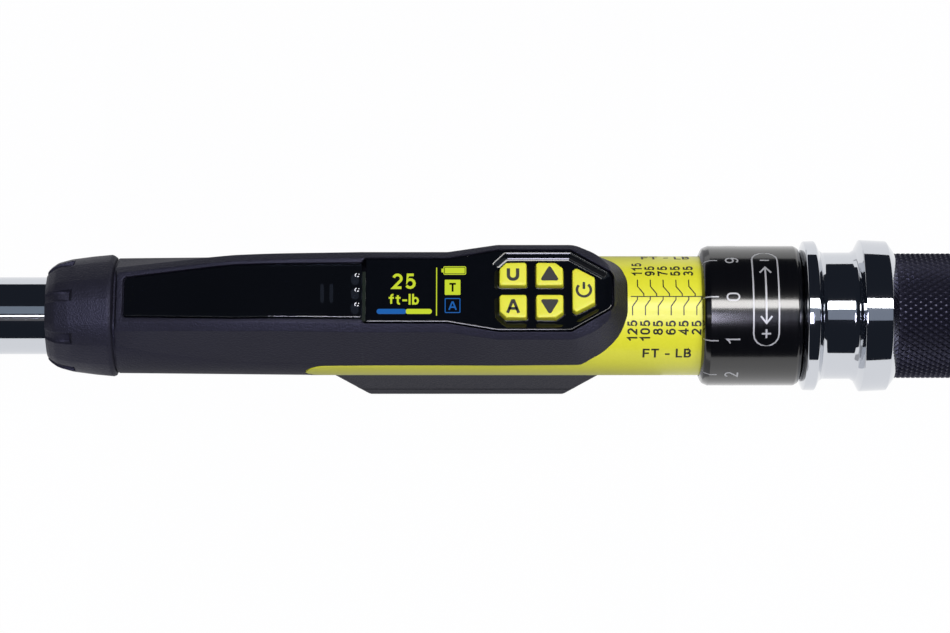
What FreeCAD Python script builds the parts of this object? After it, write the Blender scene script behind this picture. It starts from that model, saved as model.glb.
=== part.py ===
"""Click torque wrench with a digital display: the whole tool as separate pieces, in millimetres.

The wrench is drawn about its own centreline (x along the tube, y across, z up through the display), and
every piece is lifted by DRIVE_DROP as it is written, so that the frame's origin is the middle of the
drive square's end face. +X runs from the ratchet head to the grip, +Z from the drive to the display.
"""

import FreeCAD
import Part

import math
import os

V = FreeCAD.Vector

# ---- driving dimensions ----
DRIVE_DROP = 29.0            # drive square's end face, below the centreline
THREAD_PITCH = 25.4 / 14     # 7/16-14 adjusting screw: one turn of the thimble is 10 ft-lb
TURNS = 10                   # from 25 to 125 ft-lb
TRAVEL = THREAD_PITCH * TURNS
RUN = 0.05                   # radial clearance of a running fit
EPS = 0.3                    # overrun of cutting tools

TUBE_R, TUBE_BORE_R = 11.11, 9.1
TUBE_X = (42.0, 402.0)

HEAD_R, HEAD_HALF = 21.0, 13.0
SQUARE, SQUARE_TOP = 12.7, -13.6
GEAR_TEETH, GEAR_TIP_R, GEAR_ROOT_R = 36, 12.2, 11.1
GEAR_Z = (-9.4, 8.4)
LEVER_X = 20.5               # reversing lever's and pawl's axis
LEVER_REST = 20.0            # the lever's angle at rest, clear of the wrench's own line
PAWL_ROCK = 8.0

PIVOT_X, PIVOT_R = 52.0, 3.0
TANG_END_X = 130.0
ROLLER_R = 3.2
NOTCH_DEPTH = 3.2            # of the right-angled notch in the tang's end
PISTON_X = (138.0, 158.0)
SPRING_X = (158.0, 296.0)
SPRING_R, WIRE_R, SPRING_COILS = 7.0, 1.75, 20
SEAT_X = (296.0, 304.0)
SCREW_R = 5.1                # the screw's pitch radius stands for its thread
NUT_X = (384.0, 402.0)

SLEEVE_R, SLEEVE_STEP_R, SLEEVE_BORE_R = 17.1, 15.5, 14.0
SLEEVE_X = (136.0, 303.0)
COLLAR_X = (112.0, 131.9)
SHELL_X = (132.5, 277.6)
PLATFORM_Z = 22.4            # display face, above the centreline
STRIPE_X, STRIPE_NOSE = 186.0, 6.1
STRIPE_HALF = (4.2, 5.34)    # half height of the yellow stripe behind its nose and at the tail
WALL = 2.0
RIM_CHAMFER = 1.6

CASE_TOP_Z, CASE_SPLIT_Z, CASE_FOOT_Z = -8.6, -22.2, -28.3
CASE_TOP_X = (192.7, 271.4)     # the hump's ends where it leaves the sleeve
CASE_DRAFT = 9.3                # how far each end slopes in by the foot
CASE_CORNER_R = 2.8
HUMP_Z = -6.9                   # its highest point, where its flanks meet the sleeve
CELL_R, CELL_LENGTH = 5.25, 44.5

THIMBLE_X = (298.7, 327.3)
THIMBLE_R, THIMBLE_BORE_R = 20.05, 17.3
NECK_R, NECK_BORE_R = 15.5, 13.48
NECK_X0 = 321.6
GRIP_R, GRIP_X = 17.75, (354.6, 464.0)
GRIP_BORE_R = TUBE_R + 0.08
CAP_X = (464.0, 471.0)
LOCK_X = (327.8, 354.2)
LOCK_TRAVEL = 4.5
BALL_R, BALL_X = 2.0, 334.4
GROOVES, GROOVED_R = 10, 13.4
BALL_OUT = 15.5              # ball centre's radius when it rides clear of the grooves
BALL_DROP = 1.9

KEY_TOP, KEY_FLOOR = 22.9, 21.3
BOARD_Z = (15.95, 17.15)


# ---- helpers ----
def cyl_x(r, x0, x1, y=0.0, z=0.0):
    return Part.makeCylinder(r, x1 - x0, V(x0, y, z), V(1, 0, 0))


def cyl_z(r, z0, z1, x=0.0, y=0.0):
    return Part.makeCylinder(r, z1 - z0, V(x, y, z0), V(0, 0, 1))


def cyl_y(r, y0, y1, x=0.0, z=0.0):
    return Part.makeCylinder(r, y1 - y0, V(x, y0, z), V(0, 1, 0))


def ring_x(outer, inner, x0, x1):
    return cyl_x(outer, x0, x1).cut(cyl_x(inner, x0 - EPS, x1 + EPS))


def block(x0, x1, y0, y1, z0, z1):
    return Part.makeBox(x1 - x0, y1 - y0, z1 - z0, V(x0, y0, z0))


def turned(profile):
    """A solid of revolution about the centreline from (x, radius) corners."""
    wire = Part.makePolygon([V(x, 0, r) for x, r in profile + profile[:1]])
    return Part.Face(wire).revolve(V(0, 0, 0), V(1, 0, 0), 360)


def outline(corners, radii, place):
    """A closed wire through the corners, each rounded by its own radius; place turns (u, v) into a point."""
    edges, ends = [], []
    count = len(corners)
    for i, (u, v) in enumerate(corners):
        here = V(u, v, 0)
        before = (V(*corners[i - 1], 0) - here).normalize()
        after = (V(*corners[(i + 1) % count], 0) - here).normalize()
        half = before.getAngle(after) / 2
        r = radii[i] if isinstance(radii, (list, tuple)) else radii
        if r <= 0 or half > math.pi / 2 - 1e-4:
            ends.append((here, None, here))
            continue
        reach = r / math.tan(half)
        inward = (before + after).normalize()
        middle = here + inward * (r / math.sin(half) - r)
        ends.append((here + before * reach, middle, here + after * reach))
    for i, (start, middle, end) in enumerate(ends):
        if middle is not None:
            edges.append(Part.Arc(*(place(p.x, p.y) for p in (start, middle, end))).toShape())
        nxt = ends[(i + 1) % count][0]
        if (nxt - end).Length > 1e-6:
            edges.append(Part.LineSegment(place(end.x, end.y), place(nxt.x, nxt.y)).toShape())
    return Part.Wire(edges)


def slab(corners, radii, z0, z1):
    """A flat plate: an outline in plan, from z0 to z1."""
    wire = outline(corners, radii, lambda u, v: V(u, v, z0))
    return Part.Face(wire).extrude(V(0, 0, z1 - z0))


def side_slab(corners, radii, y0, y1):
    """An outline in the side view (x, z), from y0 to y1."""
    wire = outline(corners, radii, lambda u, v: V(u, y0, v))
    return Part.Face(wire).extrude(V(0, y1 - y0, 0))


def tapered(low, high, radii, z0, z1):
    """A drafted block between two outlines with the same corners in the same order."""
    wires = [
        outline(low, radii, lambda u, v: V(u, v, z0)),
        outline(high, radii, lambda u, v: V(u, v, z1)),
    ]
    return Part.makeLoft(wires, True, True)


def mirrored(half):
    """Corners along +y, followed by the same ones along -y, so that the outline is closed about y = 0."""
    return half + [(x, -y) for x, y in reversed(half)]


def joined(shapes):
    whole = shapes[0]
    for other in shapes[1:]:
        whole = whole.fuse(other)
    return whole.removeSplitter()


def turned_about_x(shape, degrees):
    copy = shape.copy()
    copy.rotate(V(0, 0, 0), V(1, 0, 0), degrees)
    return copy


def coil(radius, wire_r, x0, x1, turns, y=0.0, z=0.0, axis=V(1, 0, 0)):
    """A compression spring: a round wire swept along a helix that stays inside x0 to x1."""
    length = x1 - x0 - 2 * wire_r
    helix = Part.makeHelix(length / turns, length, radius)
    circle = Part.Wire(Part.makeCircle(wire_r, V(radius, 0, 0), V(0, 1, 0)))
    spring = Part.Wire(helix).makePipeShell([circle], True, True)
    spring.translate(V(0, 0, wire_r))
    spring.Placement = FreeCAD.Placement(
        V(x0, y, z), FreeCAD.Rotation(V(0, 0, 1), axis)
    ).multiply(spring.Placement)
    return spring


def round_edges(shape, radius, wanted):
    """Rounds the edges that wanted() picks; a piece whose edges won't round keeps them sharp."""
    edges = [e for e in shape.Edges if wanted(e)]
    if not edges:
        return shape
    try:
        rounded = shape.makeFillet(radius, edges)
    except Part.OCCError:
        return shape
    return rounded if rounded.isValid() and rounded.Volume > 0.5 * shape.Volume else shape


# ---- ratchet head ----
def gear_outline(grow):
    """Corners of the ratchet gear, with every point moved outwards by grow."""
    points = []
    for i in range(2 * GEAR_TEETH):
        r = (GEAR_TIP_R if i % 2 == 0 else GEAR_ROOT_R) + grow
        a = math.pi * i / GEAR_TEETH
        points.append((r * math.cos(a), r * math.sin(a)))
    return points


def head_plan(grow):
    """Pear shape of the head in plan: the eye, and the neck that narrows towards the tube."""
    r = HEAD_R + grow
    half = [(30.0, 11.5 + grow), (41.5 + grow, 8.6 + grow)]
    neck = slab([(4.0, r * 0.93)] + half + [(x, -y) for x, y in reversed(half)] + [(4.0, -r * 0.93)],
                0, -HEAD_HALF - 5, HEAD_HALF + 5)
    return cyl_z(r, -HEAD_HALF - 5, HEAD_HALF + 5).fuse(neck)


def cover_plan(grow, z0, z1):
    """Plan of the cover plate over the gear and the lever's shaft."""
    eye = cyl_z(17.4 + grow, z0, z1)
    tail = cyl_z(9.5 + grow, z0, z1, x=23.5)
    web = slab(mirrored([(5.8, 16.4 + grow), (26.6, 8.97 + grow)]), 0, z0, z1)
    return joined([eye, tail, web])


COVER_SCREWS = ((-12.2, 8.0), (-12.2, -8.0), (29.8, 0.0))


def ratchet_head():
    side = [(-HEAD_R - 1, HEAD_HALF), (34.0, HEAD_HALF), (39.0, 9.2), (43.0, 9.2)]
    sides = side_slab(mirrored(side), [0, 3, 2, 0, 0, 2, 3, 0], -30, 30)
    body = head_plan(0).common(sides).common(block(-30, 41.4, -30, 30, -20, 20))
    body = round_edges(body, 2.0, lambda e: abs(abs(e.CenterOfMass.z) - HEAD_HALF) < 0.01 and e.Length > 20)
    root = cyl_x(8.65, 40.0, 62.0)
    beam = block(60.0, TANG_END_X, -4.4, 4.4, -4.0, 4.0)
    shoulder = turned([(61.9, 0.0), (61.9, 8.65), (68.0, 5.2), (68.0, 0.0)])
    body = joined([body, root, shoulder, beam])
    body = body.cut(cyl_z(PIVOT_R + RUN, -12, 12, x=PIVOT_X))
    flank = side_notch()
    gear_room = cyl_z(GEAR_TIP_R + 0.35, GEAR_Z[0] - 0.1, HEAD_HALF + 1)
    journal = cyl_z(10.2 + RUN, -HEAD_HALF - 1, 0)
    pocket = cyl_z(10.2, GEAR_Z[0] - 0.1, HEAD_HALF + 1, x=LEVER_X - 3.2)
    lid = cover_plan(0.1, 8.9, HEAD_HALF + 1)
    tool = joined([gear_room, journal, pocket, lid])
    body = body.cut(tool).cut(flank)
    for x, y in COVER_SCREWS:
        body = body.cut(cyl_z(1.3, 4.0, 9.5, x=x, y=y))
    return body


def side_notch():
    """V notch in the end of the tang, in which the roller sits."""
    reach = 6.0
    corners = [(TANG_END_X - NOTCH_DEPTH, 0.0), (TANG_END_X - NOTCH_DEPTH + reach, reach),
               (TANG_END_X - NOTCH_DEPTH + reach, -reach)]
    wire = outline(corners, 0, lambda u, v: V(u, v, -6))
    return Part.Face(wire).extrude(V(0, 0, 12))


def head_cover():
    plate = cover_plan(0, 9.0, 11.6)
    plate = plate.cut(cyl_z(6.0 + RUN, 8, 13)).cut(cyl_z(3.6 + RUN, 8, 13, x=LEVER_X))
    for x, y in COVER_SCREWS:
        plate = plate.cut(cyl_z(1.7, 8, 13, x=x, y=y)).cut(cyl_z(2.6, 10.3, 13, x=x, y=y))
    return plate


def cover_screws():
    screws = []
    for x, y in COVER_SCREWS:
        screw = cyl_z(1.25, 4.2, 10.4, x=x, y=y).fuse(cyl_z(2.5, 10.35, 11.7, x=x, y=y))
        hexagon = slab([(x + 1.4 * math.cos(a), y + 1.4 * math.sin(a))
                        for a in (math.radians(60 * k) for k in range(6))], 0, 10.9, 12.5)
        screws.append(screw.removeSplitter().cut(hexagon))
    return Part.makeCompound(screws)


def drive_gear():
    teeth = slab(gear_outline(0), 0, *GEAR_Z)
    journal = cyl_z(10.2, SQUARE_TOP, GEAR_Z[0] + 0.1)
    stub = cyl_z(6.0, GEAR_Z[1] - 0.1, 11.8)
    half = SQUARE / 2
    square = tapered(mirrored([(-half, half), (half, half)]), mirrored([(-half, half), (half, half)]),
                     0.9, -DRIVE_DROP + 1.0, SQUARE_TOP + 0.1)
    small = half - 0.9
    nose = tapered(mirrored([(-small, small), (small, small)]), mirrored([(-half, half), (half, half)]),
                   0.9, -DRIVE_DROP, -DRIVE_DROP + 1.0)
    body = joined([teeth, journal, stub, square, nose])
    hole = cyl_x(2.45, 0.4, 8.0, z=BALL_Z)
    return body.cut(hole)


BALL_Z = -21.3
DRIVE_BALL_R = 2.35


def drive_ball():
    return Part.makeSphere(DRIVE_BALL_R, V(SQUARE / 2 + 0.75 - DRIVE_BALL_R, 0, BALL_Z))


def drive_ball_spring():
    return coil(1.1, 0.27, 0.5, 2.3, 2, z=BALL_Z)


def pawl_end():
    """The toothed end that is in mesh at rest."""
    ring = cyl_z(17.2, -8.9, 7.9).cut(slab(gear_outline(0.12), 0, -10, 10))
    wedge = slab([(0, 0), (24 * math.cos(math.radians(22)), 24 * math.sin(math.radians(22))),
                  (26 * math.cos(math.radians(40)), 26 * math.sin(math.radians(40)))], 0, -10, 10)
    return ring.common(wedge).common(cyl_z(9.6, -10, 10, x=LEVER_X - 3.2))


def pawl():
    pivot = V(LEVER_X, 0, 0)
    engaged = pawl_end()
    idle = engaged.mirror(V(0, 0, 0), V(0, 1, 0))
    idle.rotate(pivot, V(0, 0, 1), PAWL_ROCK)
    hub = cyl_z(5.2, -8.9, 7.9, x=LEVER_X)
    arms = [slab([(LEVER_X - 5.5, s * 1.0), (LEVER_X - 7.5, s * 7.0), (LEVER_X - 2.0, s * 8.2),
                  (LEVER_X + 2.0, s * 5.0)], 0, -8.9, 7.9) for s in (1, -1)]
    arms[1].rotate(pivot, V(0, 0, 1), PAWL_ROCK)
    body = joined([hub] + arms)
    body = body.cut(cyl_z(GEAR_TIP_R + 0.9, -10, 10))
    body = joined([body, engaged, idle])
    slot = block(LEVER_X - 9.0, LEVER_X, -4.2, 4.2, -2.0, 2.0)
    body = body.cut(cyl_z(3.6 + RUN, -10, 10, x=LEVER_X)).cut(slot)
    return body


def lever_shape(shape):
    shape.rotate(V(LEVER_X, 0, 0), V(0, 0, 1), LEVER_REST)
    return shape


def reverse_lever():
    hub = cyl_z(6.8, 11.8, 15.2, x=LEVER_X)
    tail = slab([(LEVER_X, 6.2), (LEVER_X + 14.0, 4.6), (LEVER_X + 19.0, 3.2),
                 (LEVER_X + 19.0, -3.2), (LEVER_X + 14.0, -4.6), (LEVER_X, -6.2)],
                [0, 6, 2, 2, 6, 0], 13.3, 15.2)
    paddle = slab([(LEVER_X + 13.5, 4.4), (LEVER_X + 18.8, 3.0), (LEVER_X + 18.8, -3.0),
                   (LEVER_X + 13.5, -4.4)], 1.0, 15.1, 18.0)
    top = joined([hub, tail, paddle])
    top = round_edges(top, 0.7, lambda e: abs(e.CenterOfMass.z - 15.2) < 0.01 or abs(e.CenterOfMass.z - 18.0) < 0.01)
    shaft = cyl_z(3.6, -8.6, 12.0, x=LEVER_X)
    hole = Part.makeCylinder(1.55, 6.0, V(LEVER_X - 6.5, 0, 0), V(1, 0, 0))
    return lever_shape(joined([top, shaft]).cut(hole))


def lever_plunger():
    stem = Part.makeCylinder(1.5, 2.0, V(LEVER_X - 4.4, 0, 0), V(1, 0, 0))
    return lever_shape(stem.fuse(Part.makeSphere(1.5, V(LEVER_X - 4.4, 0, 0))).removeSplitter())


def plunger_spring():
    return lever_shape(coil(0.95, 0.22, LEVER_X - 2.35, LEVER_X - 0.55, 2.5))


def strain_gauges():
    """Four foil gauges on the two flanks of the tang."""
    pads = [block(x, x + 7.0, s * 4.42 - 0.12, s * 4.42 + 0.12, -2.5, 2.5) for x in (96.0, 106.0) for s in (1, -1)]
    return Part.makeCompound([p.cut(block(60, TANG_END_X, -4.4, 4.4, -5, 5)) for p in pads])


# ---- tube and click mechanism ----
def tube():
    body = ring_x(TUBE_R, TUBE_BORE_R, *TUBE_X)
    lips = [(TUBE_X[0] - EPS, TUBE_R - 0.8), (TUBE_X[0] - EPS, TUBE_R + 1), (TUBE_X[0] + 1.0, TUBE_R + 0.3)]
    body = body.cut(turned(lips))
    body = body.cut(cyl_z(PIVOT_R, -14, 14, x=PIVOT_X))
    body = body.cut(cyl_y(1.5, -14, 14, x=sum(NUT_X) / 2))
    return body.cut(slab([(113.5, 1.6), (123.0, 1.6), (123.0, -1.6), (113.5, -1.6)], 1.5, 6, 12))


def pivot_pin():
    return cyl_z(PIVOT_R, -11.05, 11.05, x=PIVOT_X)


def piston():
    body = cyl_x(TUBE_BORE_R - 0.1, *PISTON_X)
    spigot = cyl_x(4.6, PISTON_X[1] - 0.1, PISTON_X[1] + 12.0)
    ears = [block(roller_axis() - 2.6, PISTON_X[0] + 0.1, -3.6, 3.6, *z) for z in ((4.3, 6.9), (-6.9, -4.3))]
    ears = [e.common(cyl_x(TUBE_BORE_R - 0.1, 120, 150)) for e in ears]
    body = joined([body, spigot] + ears)
    axis_x = roller_axis()
    body = body.cut(cyl_z(ROLLER_R + 0.15, -4.0, 4.0, x=axis_x))
    return body.cut(cyl_z(1.25, -7.0, 7.0, x=axis_x))


def roller_axis():
    """The roller touches both flanks of a right-angled notch, with a little clearance."""
    return TANG_END_X - NOTCH_DEPTH + (ROLLER_R + 0.12) * math.sqrt(2)


def roller_pin():
    return cyl_z(1.25, -6.9, 6.9, x=roller_axis()).common(cyl_x(TUBE_BORE_R - 0.2, 120, 150))


def click_roller():
    return cyl_z(ROLLER_R, -3.9, 3.9, x=roller_axis()).cut(cyl_z(1.25 + RUN, -5, 5, x=roller_axis()))


def main_spring():
    return coil(SPRING_R, WIRE_R, SPRING_X[0] + 0.05, SPRING_X[1] - 0.05, SPRING_COILS)


def spring_seat():
    body = cyl_x(TUBE_BORE_R - 0.1, *SEAT_X)
    spigot = cyl_x(4.6, SEAT_X[0] - 8.0, SEAT_X[0] + 0.1)
    cup = Part.makeSphere(3.0 + 0.02, V(SEAT_X[1] + 0.6, 0, 0))
    return joined([body, spigot]).cut(cup)


def thrust_ball():
    return Part.makeSphere(3.0, V(SEAT_X[1] + 0.6, 0, 0))


def screw_nut():
    return ring_x(TUBE_BORE_R, SCREW_R + RUN, *NUT_X).cut(cyl_y(1.5, -14, 14, x=sum(NUT_X) / 2))


def nut_pins():
    pins = cyl_y(1.5, -10.9, 10.9, x=sum(NUT_X) / 2)
    return pins.cut(cyl_x(SCREW_R + 0.4, *NUT_X))


def grooved_bush():
    """Ring fixed on the tube, with ten lengthways grooves for the lock's balls: one to each ft-lb."""
    bush = ring_x(GROOVED_R, TUBE_R, 312.0, 346.0)
    for k in range(GROOVES):
        groove = cyl_x(BALL_R + 0.1, 311.0, 347.0, z=BALL_OUT - BALL_DROP)
        bush = bush.cut(turned_about_x(groove, 360.0 / GROOVES * k))
    return bush


# ---- housing ----
BASE_PLAN = mirrored([(131.0, 12.0), (200.0, 16.2), (226.8, 16.2), (240.7, 16.25), (263.5, 16.25),
                      (274.0, 12.6), (277.6, 5.0)])
TOP_PLAN = mirrored([(131.0, 7.8), (200.0, 11.4), (226.8, 11.4), (240.7, 13.7), (262.6, 13.7),
                     (271.0, 9.2), (274.2, 4.0)])
PLAN_RADII = [0, 40, 20, 20, 7, 8, 5, 5, 8, 7, 20, 20, 40, 0]
PANEL_PLAN = mirrored([(203.7, 9.33), (226.8, 9.33), (240.7, 11.77), (261.5, 11.77), (272.3, 5.5), (273.1, 4.3)])
PANEL_RADII = [1.2, 8, 8, 1.5, 0.8, 0.8, 0.8, 0.8, 1.5, 8, 8, 1.2]
RECESS_PLAN = mirrored([(239.2, 7.9), (242.8, 11.45), (261.4, 11.45), (272.0, 5.3), (272.75, 4.2)])
RECESS_RADII = [1.0, 1.0, 1.0, 0.6, 0.6, 0.6, 0.6, 1.0, 1.0, 1.0]
WINDOW_PLAN = mirrored([(135.1, 5.65), (166.0, 7.75), (202.8, 8.05)])
WINDOW_RADII = [1.0, 60, 0.6, 0.6, 60, 1.0]


def inset(corners, by):
    """The outline moved inwards by a distance, corner by corner along each corner's bisector."""
    moved = []
    count = len(corners)
    for i, (u, v) in enumerate(corners):
        here = V(u, v, 0)
        before = (V(*corners[i - 1], 0) - here).normalize()
        after = (V(*corners[(i + 1) % count], 0) - here).normalize()
        # corners run clockwise from above, so the inside lies to the right of the way round
        side_in = V(-before.y, before.x, 0)
        side_out = V(after.y, -after.x, 0)
        bisector = (side_in + side_out).normalize()
        reach = by / max(0.3, bisector.dot(side_out))
        moved.append((u + bisector.x * reach, v + bisector.y * reach))
    return moved


def platform_top(drop, x0, x1, half=20.0):
    """Everything under the display face: it climbs from the collar, eases over and runs level."""
    rise = [V(x0, 0, 15.9 - drop), V(156.0, 0, 20.1 - drop), V(170.0, 0, 21.85 - drop), V(183.0, 0, PLATFORM_Z - drop)]
    start = V(x0, 0, 15.9 - drop - (131.5 - x0) * 0.172)
    line = Part.LineSegment(start, rise[1]).toShape()
    ease = Part.Arc(rise[1], rise[2], rise[3]).toShape()
    level = Part.LineSegment(rise[3], V(x1, 0, PLATFORM_Z - drop)).toShape()
    down = Part.LineSegment(V(x1, 0, PLATFORM_Z - drop), V(x1, 0, -2)).toShape()
    under = Part.LineSegment(V(x1, 0, -2), V(x0, 0, -2)).toShape()
    up = Part.LineSegment(V(x0, 0, -2), start).toShape()
    face = Part.Face(Part.Wire([line, ease, level, down, under, up]))
    face.translate(V(0, -half, 0))
    return face.extrude(V(0, 2 * half, 0))


def stripe_cutter(grow):
    """The yellow stripe's side view, from its nose to behind the tail, right across the tool."""
    tail = 300.0
    nose, low, high = STRIPE_X - grow, STRIPE_HALF[0] + grow, STRIPE_HALF[1] + grow
    edges = []
    for s in (1, -1):
        points = [V(nose, 0, 0), V(nose + 2.3, 0, s * 0.7 * low), V(nose + STRIPE_NOSE, 0, s * low)]
        edges.append(Part.Arc(*points).toShape())
        edges.append(Part.LineSegment(points[2], V(tail, 0, s * high)).toShape())
    edges.append(Part.LineSegment(V(tail, 0, high), V(tail, 0, -high)).toShape())
    face = Part.Face(Part.Wire(Part.__sortEdges__(edges)))
    face.translate(V(0, -30, 0))
    return face.extrude(V(0, 60, 0))


def footprint(grow):
    """The plan of the black upper shell where it lies on the sleeve, as a tall block."""
    tail = slab(inset(BASE_PLAN, -grow), PLAN_RADII, -40, 40)
    return tail.fuse(block(120, 255, -25, 25, -40, 40))


def upper_shell():
    draft = tapered(BASE_PLAN, TOP_PLAN, PLAN_RADII, 4.0, PLATFORM_Z + 0.6)
    raised = draft.common(platform_top(0.0, 131.2, 290.0))
    raised = raised.common(block(SHELL_X[0], 300, -30, 30, -1, 30))
    top = [e for e in raised.Edges if rim_edge(e)]
    raised = raised.makeChamfer(RIM_CHAMFER, top)
    barrel = turned([(SHELL_X[0], 0), (SHELL_X[0], 16.5), (STRIPE_X + 6, 17.08), (280.0, 17.08), (280.0, 0)])
    barrel = barrel.common(footprint(0.0))
    keep = block(120, 200, -30, 30, -30, 30).fuse(block(120, 300, -30, 30, 0, 30))
    body = barrel.common(keep).cut(stripe_cutter(0.0)).fuse(raised.cut(stripe_cutter(0.0)))
    body = body.cut(block(STRIPE_X + 1.0, 300, -30, 30, -30, 0))
    body = body.cut(turned([(120, 0), (120, 14.2), (135.9, 14.2), (135.9, SLEEVE_STEP_R + 0.03),
                            (300, SLEEVE_STEP_R + 0.03), (300, 0)]))
    room = tapered(inset(BASE_PLAN, WALL + 1.0), inset(TOP_PLAN, WALL + 0.6), 0, 4.0, PLATFORM_Z + 0.6)
    room = room.common(platform_top(WALL + 0.2, 131.2, 290.0)).common(block(146.0, 271.0, -30, 30, 12.0, 30))
    body = body.cut(room)
    panel = slab(inset(PANEL_PLAN, -0.35), PANEL_RADII, PLATFORM_Z - 1.75, 30)
    under_panel = slab(inset(PANEL_PLAN, 1.2), 0, PLATFORM_Z - 4, 30)
    body = body.cut(panel).cut(under_panel)
    body = body.cut(window_pocket(-0.35, 1.3))
    return body.cut(window_pocket(1.2, 4.0))


def rim_edge(edge):
    """The edges round the display face, where it meets the flanks, but none that run across it."""
    box = edge.BoundBox
    on_top = all(abs(p.z - face_height(p.x)) < 0.05 for p in edge.discretize(5))
    across = box.YMin < -9.0 and box.YMax > 9.0
    return on_top and not across


def face_height(x):
    """Height of the display face above the centreline."""
    if x >= 183.0:
        return PLATFORM_Z
    if x <= 156.0:
        return 20.1 - (156.0 - x) * 0.172
    radius = (27.0 ** 2 + 2.3 ** 2) / (2 * 2.3)
    return PLATFORM_Z - radius + math.sqrt(radius ** 2 - (183.0 - x) ** 2)


def window_pocket(by, depth):
    """Room for the long window: its plan, from a depth under the climbing face to above it."""
    plan = slab(inset(WINDOW_PLAN, by), WINDOW_RADII if by < 1 else 0, 5, 30)
    return plan.cut(platform_top(depth, 125.0, 290.0))


def led_window():
    plan = slab(WINDOW_PLAN, WINDOW_RADII, 5, 30)
    body = plan.common(platform_top(0.1, 125.0, 290.0)).cut(platform_top(1.0, 125.0, 290.0))
    return round_edges(body, 0.35, lambda e: all(abs(p.z - face_height(p.x) + 0.1) < 0.03 for p in e.discretize(4)))


def display_lens():
    top = PLATFORM_Z - 0.1
    body = slab(PANEL_PLAN, PANEL_RADII, PLATFORM_Z - 1.7, top)
    body = round_edges(body, 0.3, lambda e: abs(e.BoundBox.ZMin - top) < 1e-3)
    dish = tapered(inset(RECESS_PLAN, 2.1), inset(RECESS_PLAN, 0.0), 0, KEY_FLOOR, top + 0.001)
    body = body.cut(dish)
    for corners, radii in KEYS.values():
        body = body.cut(slab(inset(corners, -0.25), [r + 0.25 for r in radii], 10, 30))
    return body


KEYS = {
    "unit_button": ([(241.2, 6.4), (243.1, 8.35), (249.2, 8.35), (249.2, 1.2), (241.2, 1.2)], [0.7] * 5),
    "angle_button": ([(241.2, -1.2), (249.2, -1.2), (249.2, -8.35), (243.1, -8.35), (241.2, -6.4)], [0.7] * 5),
    "up_button": ([(251.5, 8.35), (257.2, 8.35), (259.5, 6.6), (259.5, 1.2), (251.5, 1.2)], [0.7] * 5),
    "down_button": ([(251.5, -1.2), (259.5, -1.2), (259.5, -6.6), (257.2, -8.35), (251.5, -8.35)], [0.7] * 5),
    "power_button": ([(261.8, 5.9), (262.9, 6.8), (268.4, 3.9), (268.4, -3.9), (262.9, -6.8), (261.8, -5.9)],
                     [0.6] * 6),
}


def button(name):
    corners, radii = KEYS[name]
    cap = slab(corners, radii, KEY_FLOOR - 1.0, KEY_TOP)
    cap = round_edges(cap, 0.45, lambda e: abs(e.BoundBox.ZMin - KEY_TOP) < 1e-3)
    flange = slab(inset(corners, -0.7), [r + 0.7 for r in radii], 19.4, PLATFORM_Z - 1.75)
    return joined([cap, flange])


def keypad_mat():
    mat = slab(inset(PANEL_PLAN, 1.6), 0, 18.0, 18.55).common(block(240.6, 270.7, -20, 20, 10, 30))
    for corners, _ in KEYS.values():
        x = sum(c[0] for c in corners) / len(corners)
        y = sum(c[1] for c in corners) / len(corners)
        mat = mat.fuse(cyl_z(1.6, 18.5, 18.95, x=x, y=y)).cut(cyl_z(2.4, 17.5, 18.2, x=x, y=y))
    return mat.removeSplitter()


def key_switches():
    domes = []
    for corners, _ in KEYS.values():
        x = sum(c[0] for c in corners) / len(corners)
        y = sum(c[1] for c in corners) / len(corners)
        domes.append(cyl_z(2.0, BOARD_Z[1], BOARD_Z[1] + 0.8, x=x, y=y))
    return Part.makeCompound(domes)


def display_module():
    frame = block(206.0, 238.5, -8.6, 8.6, BOARD_Z[1] + 0.6, 20.5)
    glass = block(208.0, 234.5, -7.9, 7.9, 20.45, 20.62)
    return frame.fuse(glass).removeSplitter().common(slab(inset(PANEL_PLAN, 1.25), 0, 10, 30))


def main_board():
    board = block(170.0, 269.0, -9.0, 9.0, *BOARD_Z)
    return board.common(slab(inset(TOP_PLAN, 4.0), 0, 10, 20))


def board_chips():
    sizes = ((171.2, 3.0, 0.9), (176.0, 6.0, 1.0), (187.0, 4.0, 0.9))
    chips = [block(x, x + s, -s / 2 - 3.1, s / 2 - 3.1, BOARD_Z[1], BOARD_Z[1] + h) for x, s, h in sizes]
    return Part.makeCompound(chips)


def indicator_leds():
    lamps = []
    for y in (-4.35, 0.0, 4.35):
        lamp = cyl_z(1.1, BOARD_Z[1] + 0.2, 20.2, x=200.6, y=y)
        lamps.append(lamp.fuse(Part.makeSphere(1.1, V(200.6, y, 20.0))).removeSplitter().cut(block(190, 210, -9, 9, 20.9, 25)))
    return Part.makeCompound(lamps)


def light_pipes():
    return Part.makeCompound([slab([(x - 0.45, -2.4), (x - 0.45, 2.4), (x + 0.45, 2.4), (x + 0.45, -2.4)],
                                   0.4, 18.3, 20.7) for x in (191.4, 194.0)])


def buzzer():
    return cyl_z(3.1, BOARD_Z[1], BOARD_Z[1] + 2.0, x=181.0, y=3.2).cut(cyl_z(0.6, 18, 25, x=181.0, y=3.2))


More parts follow.
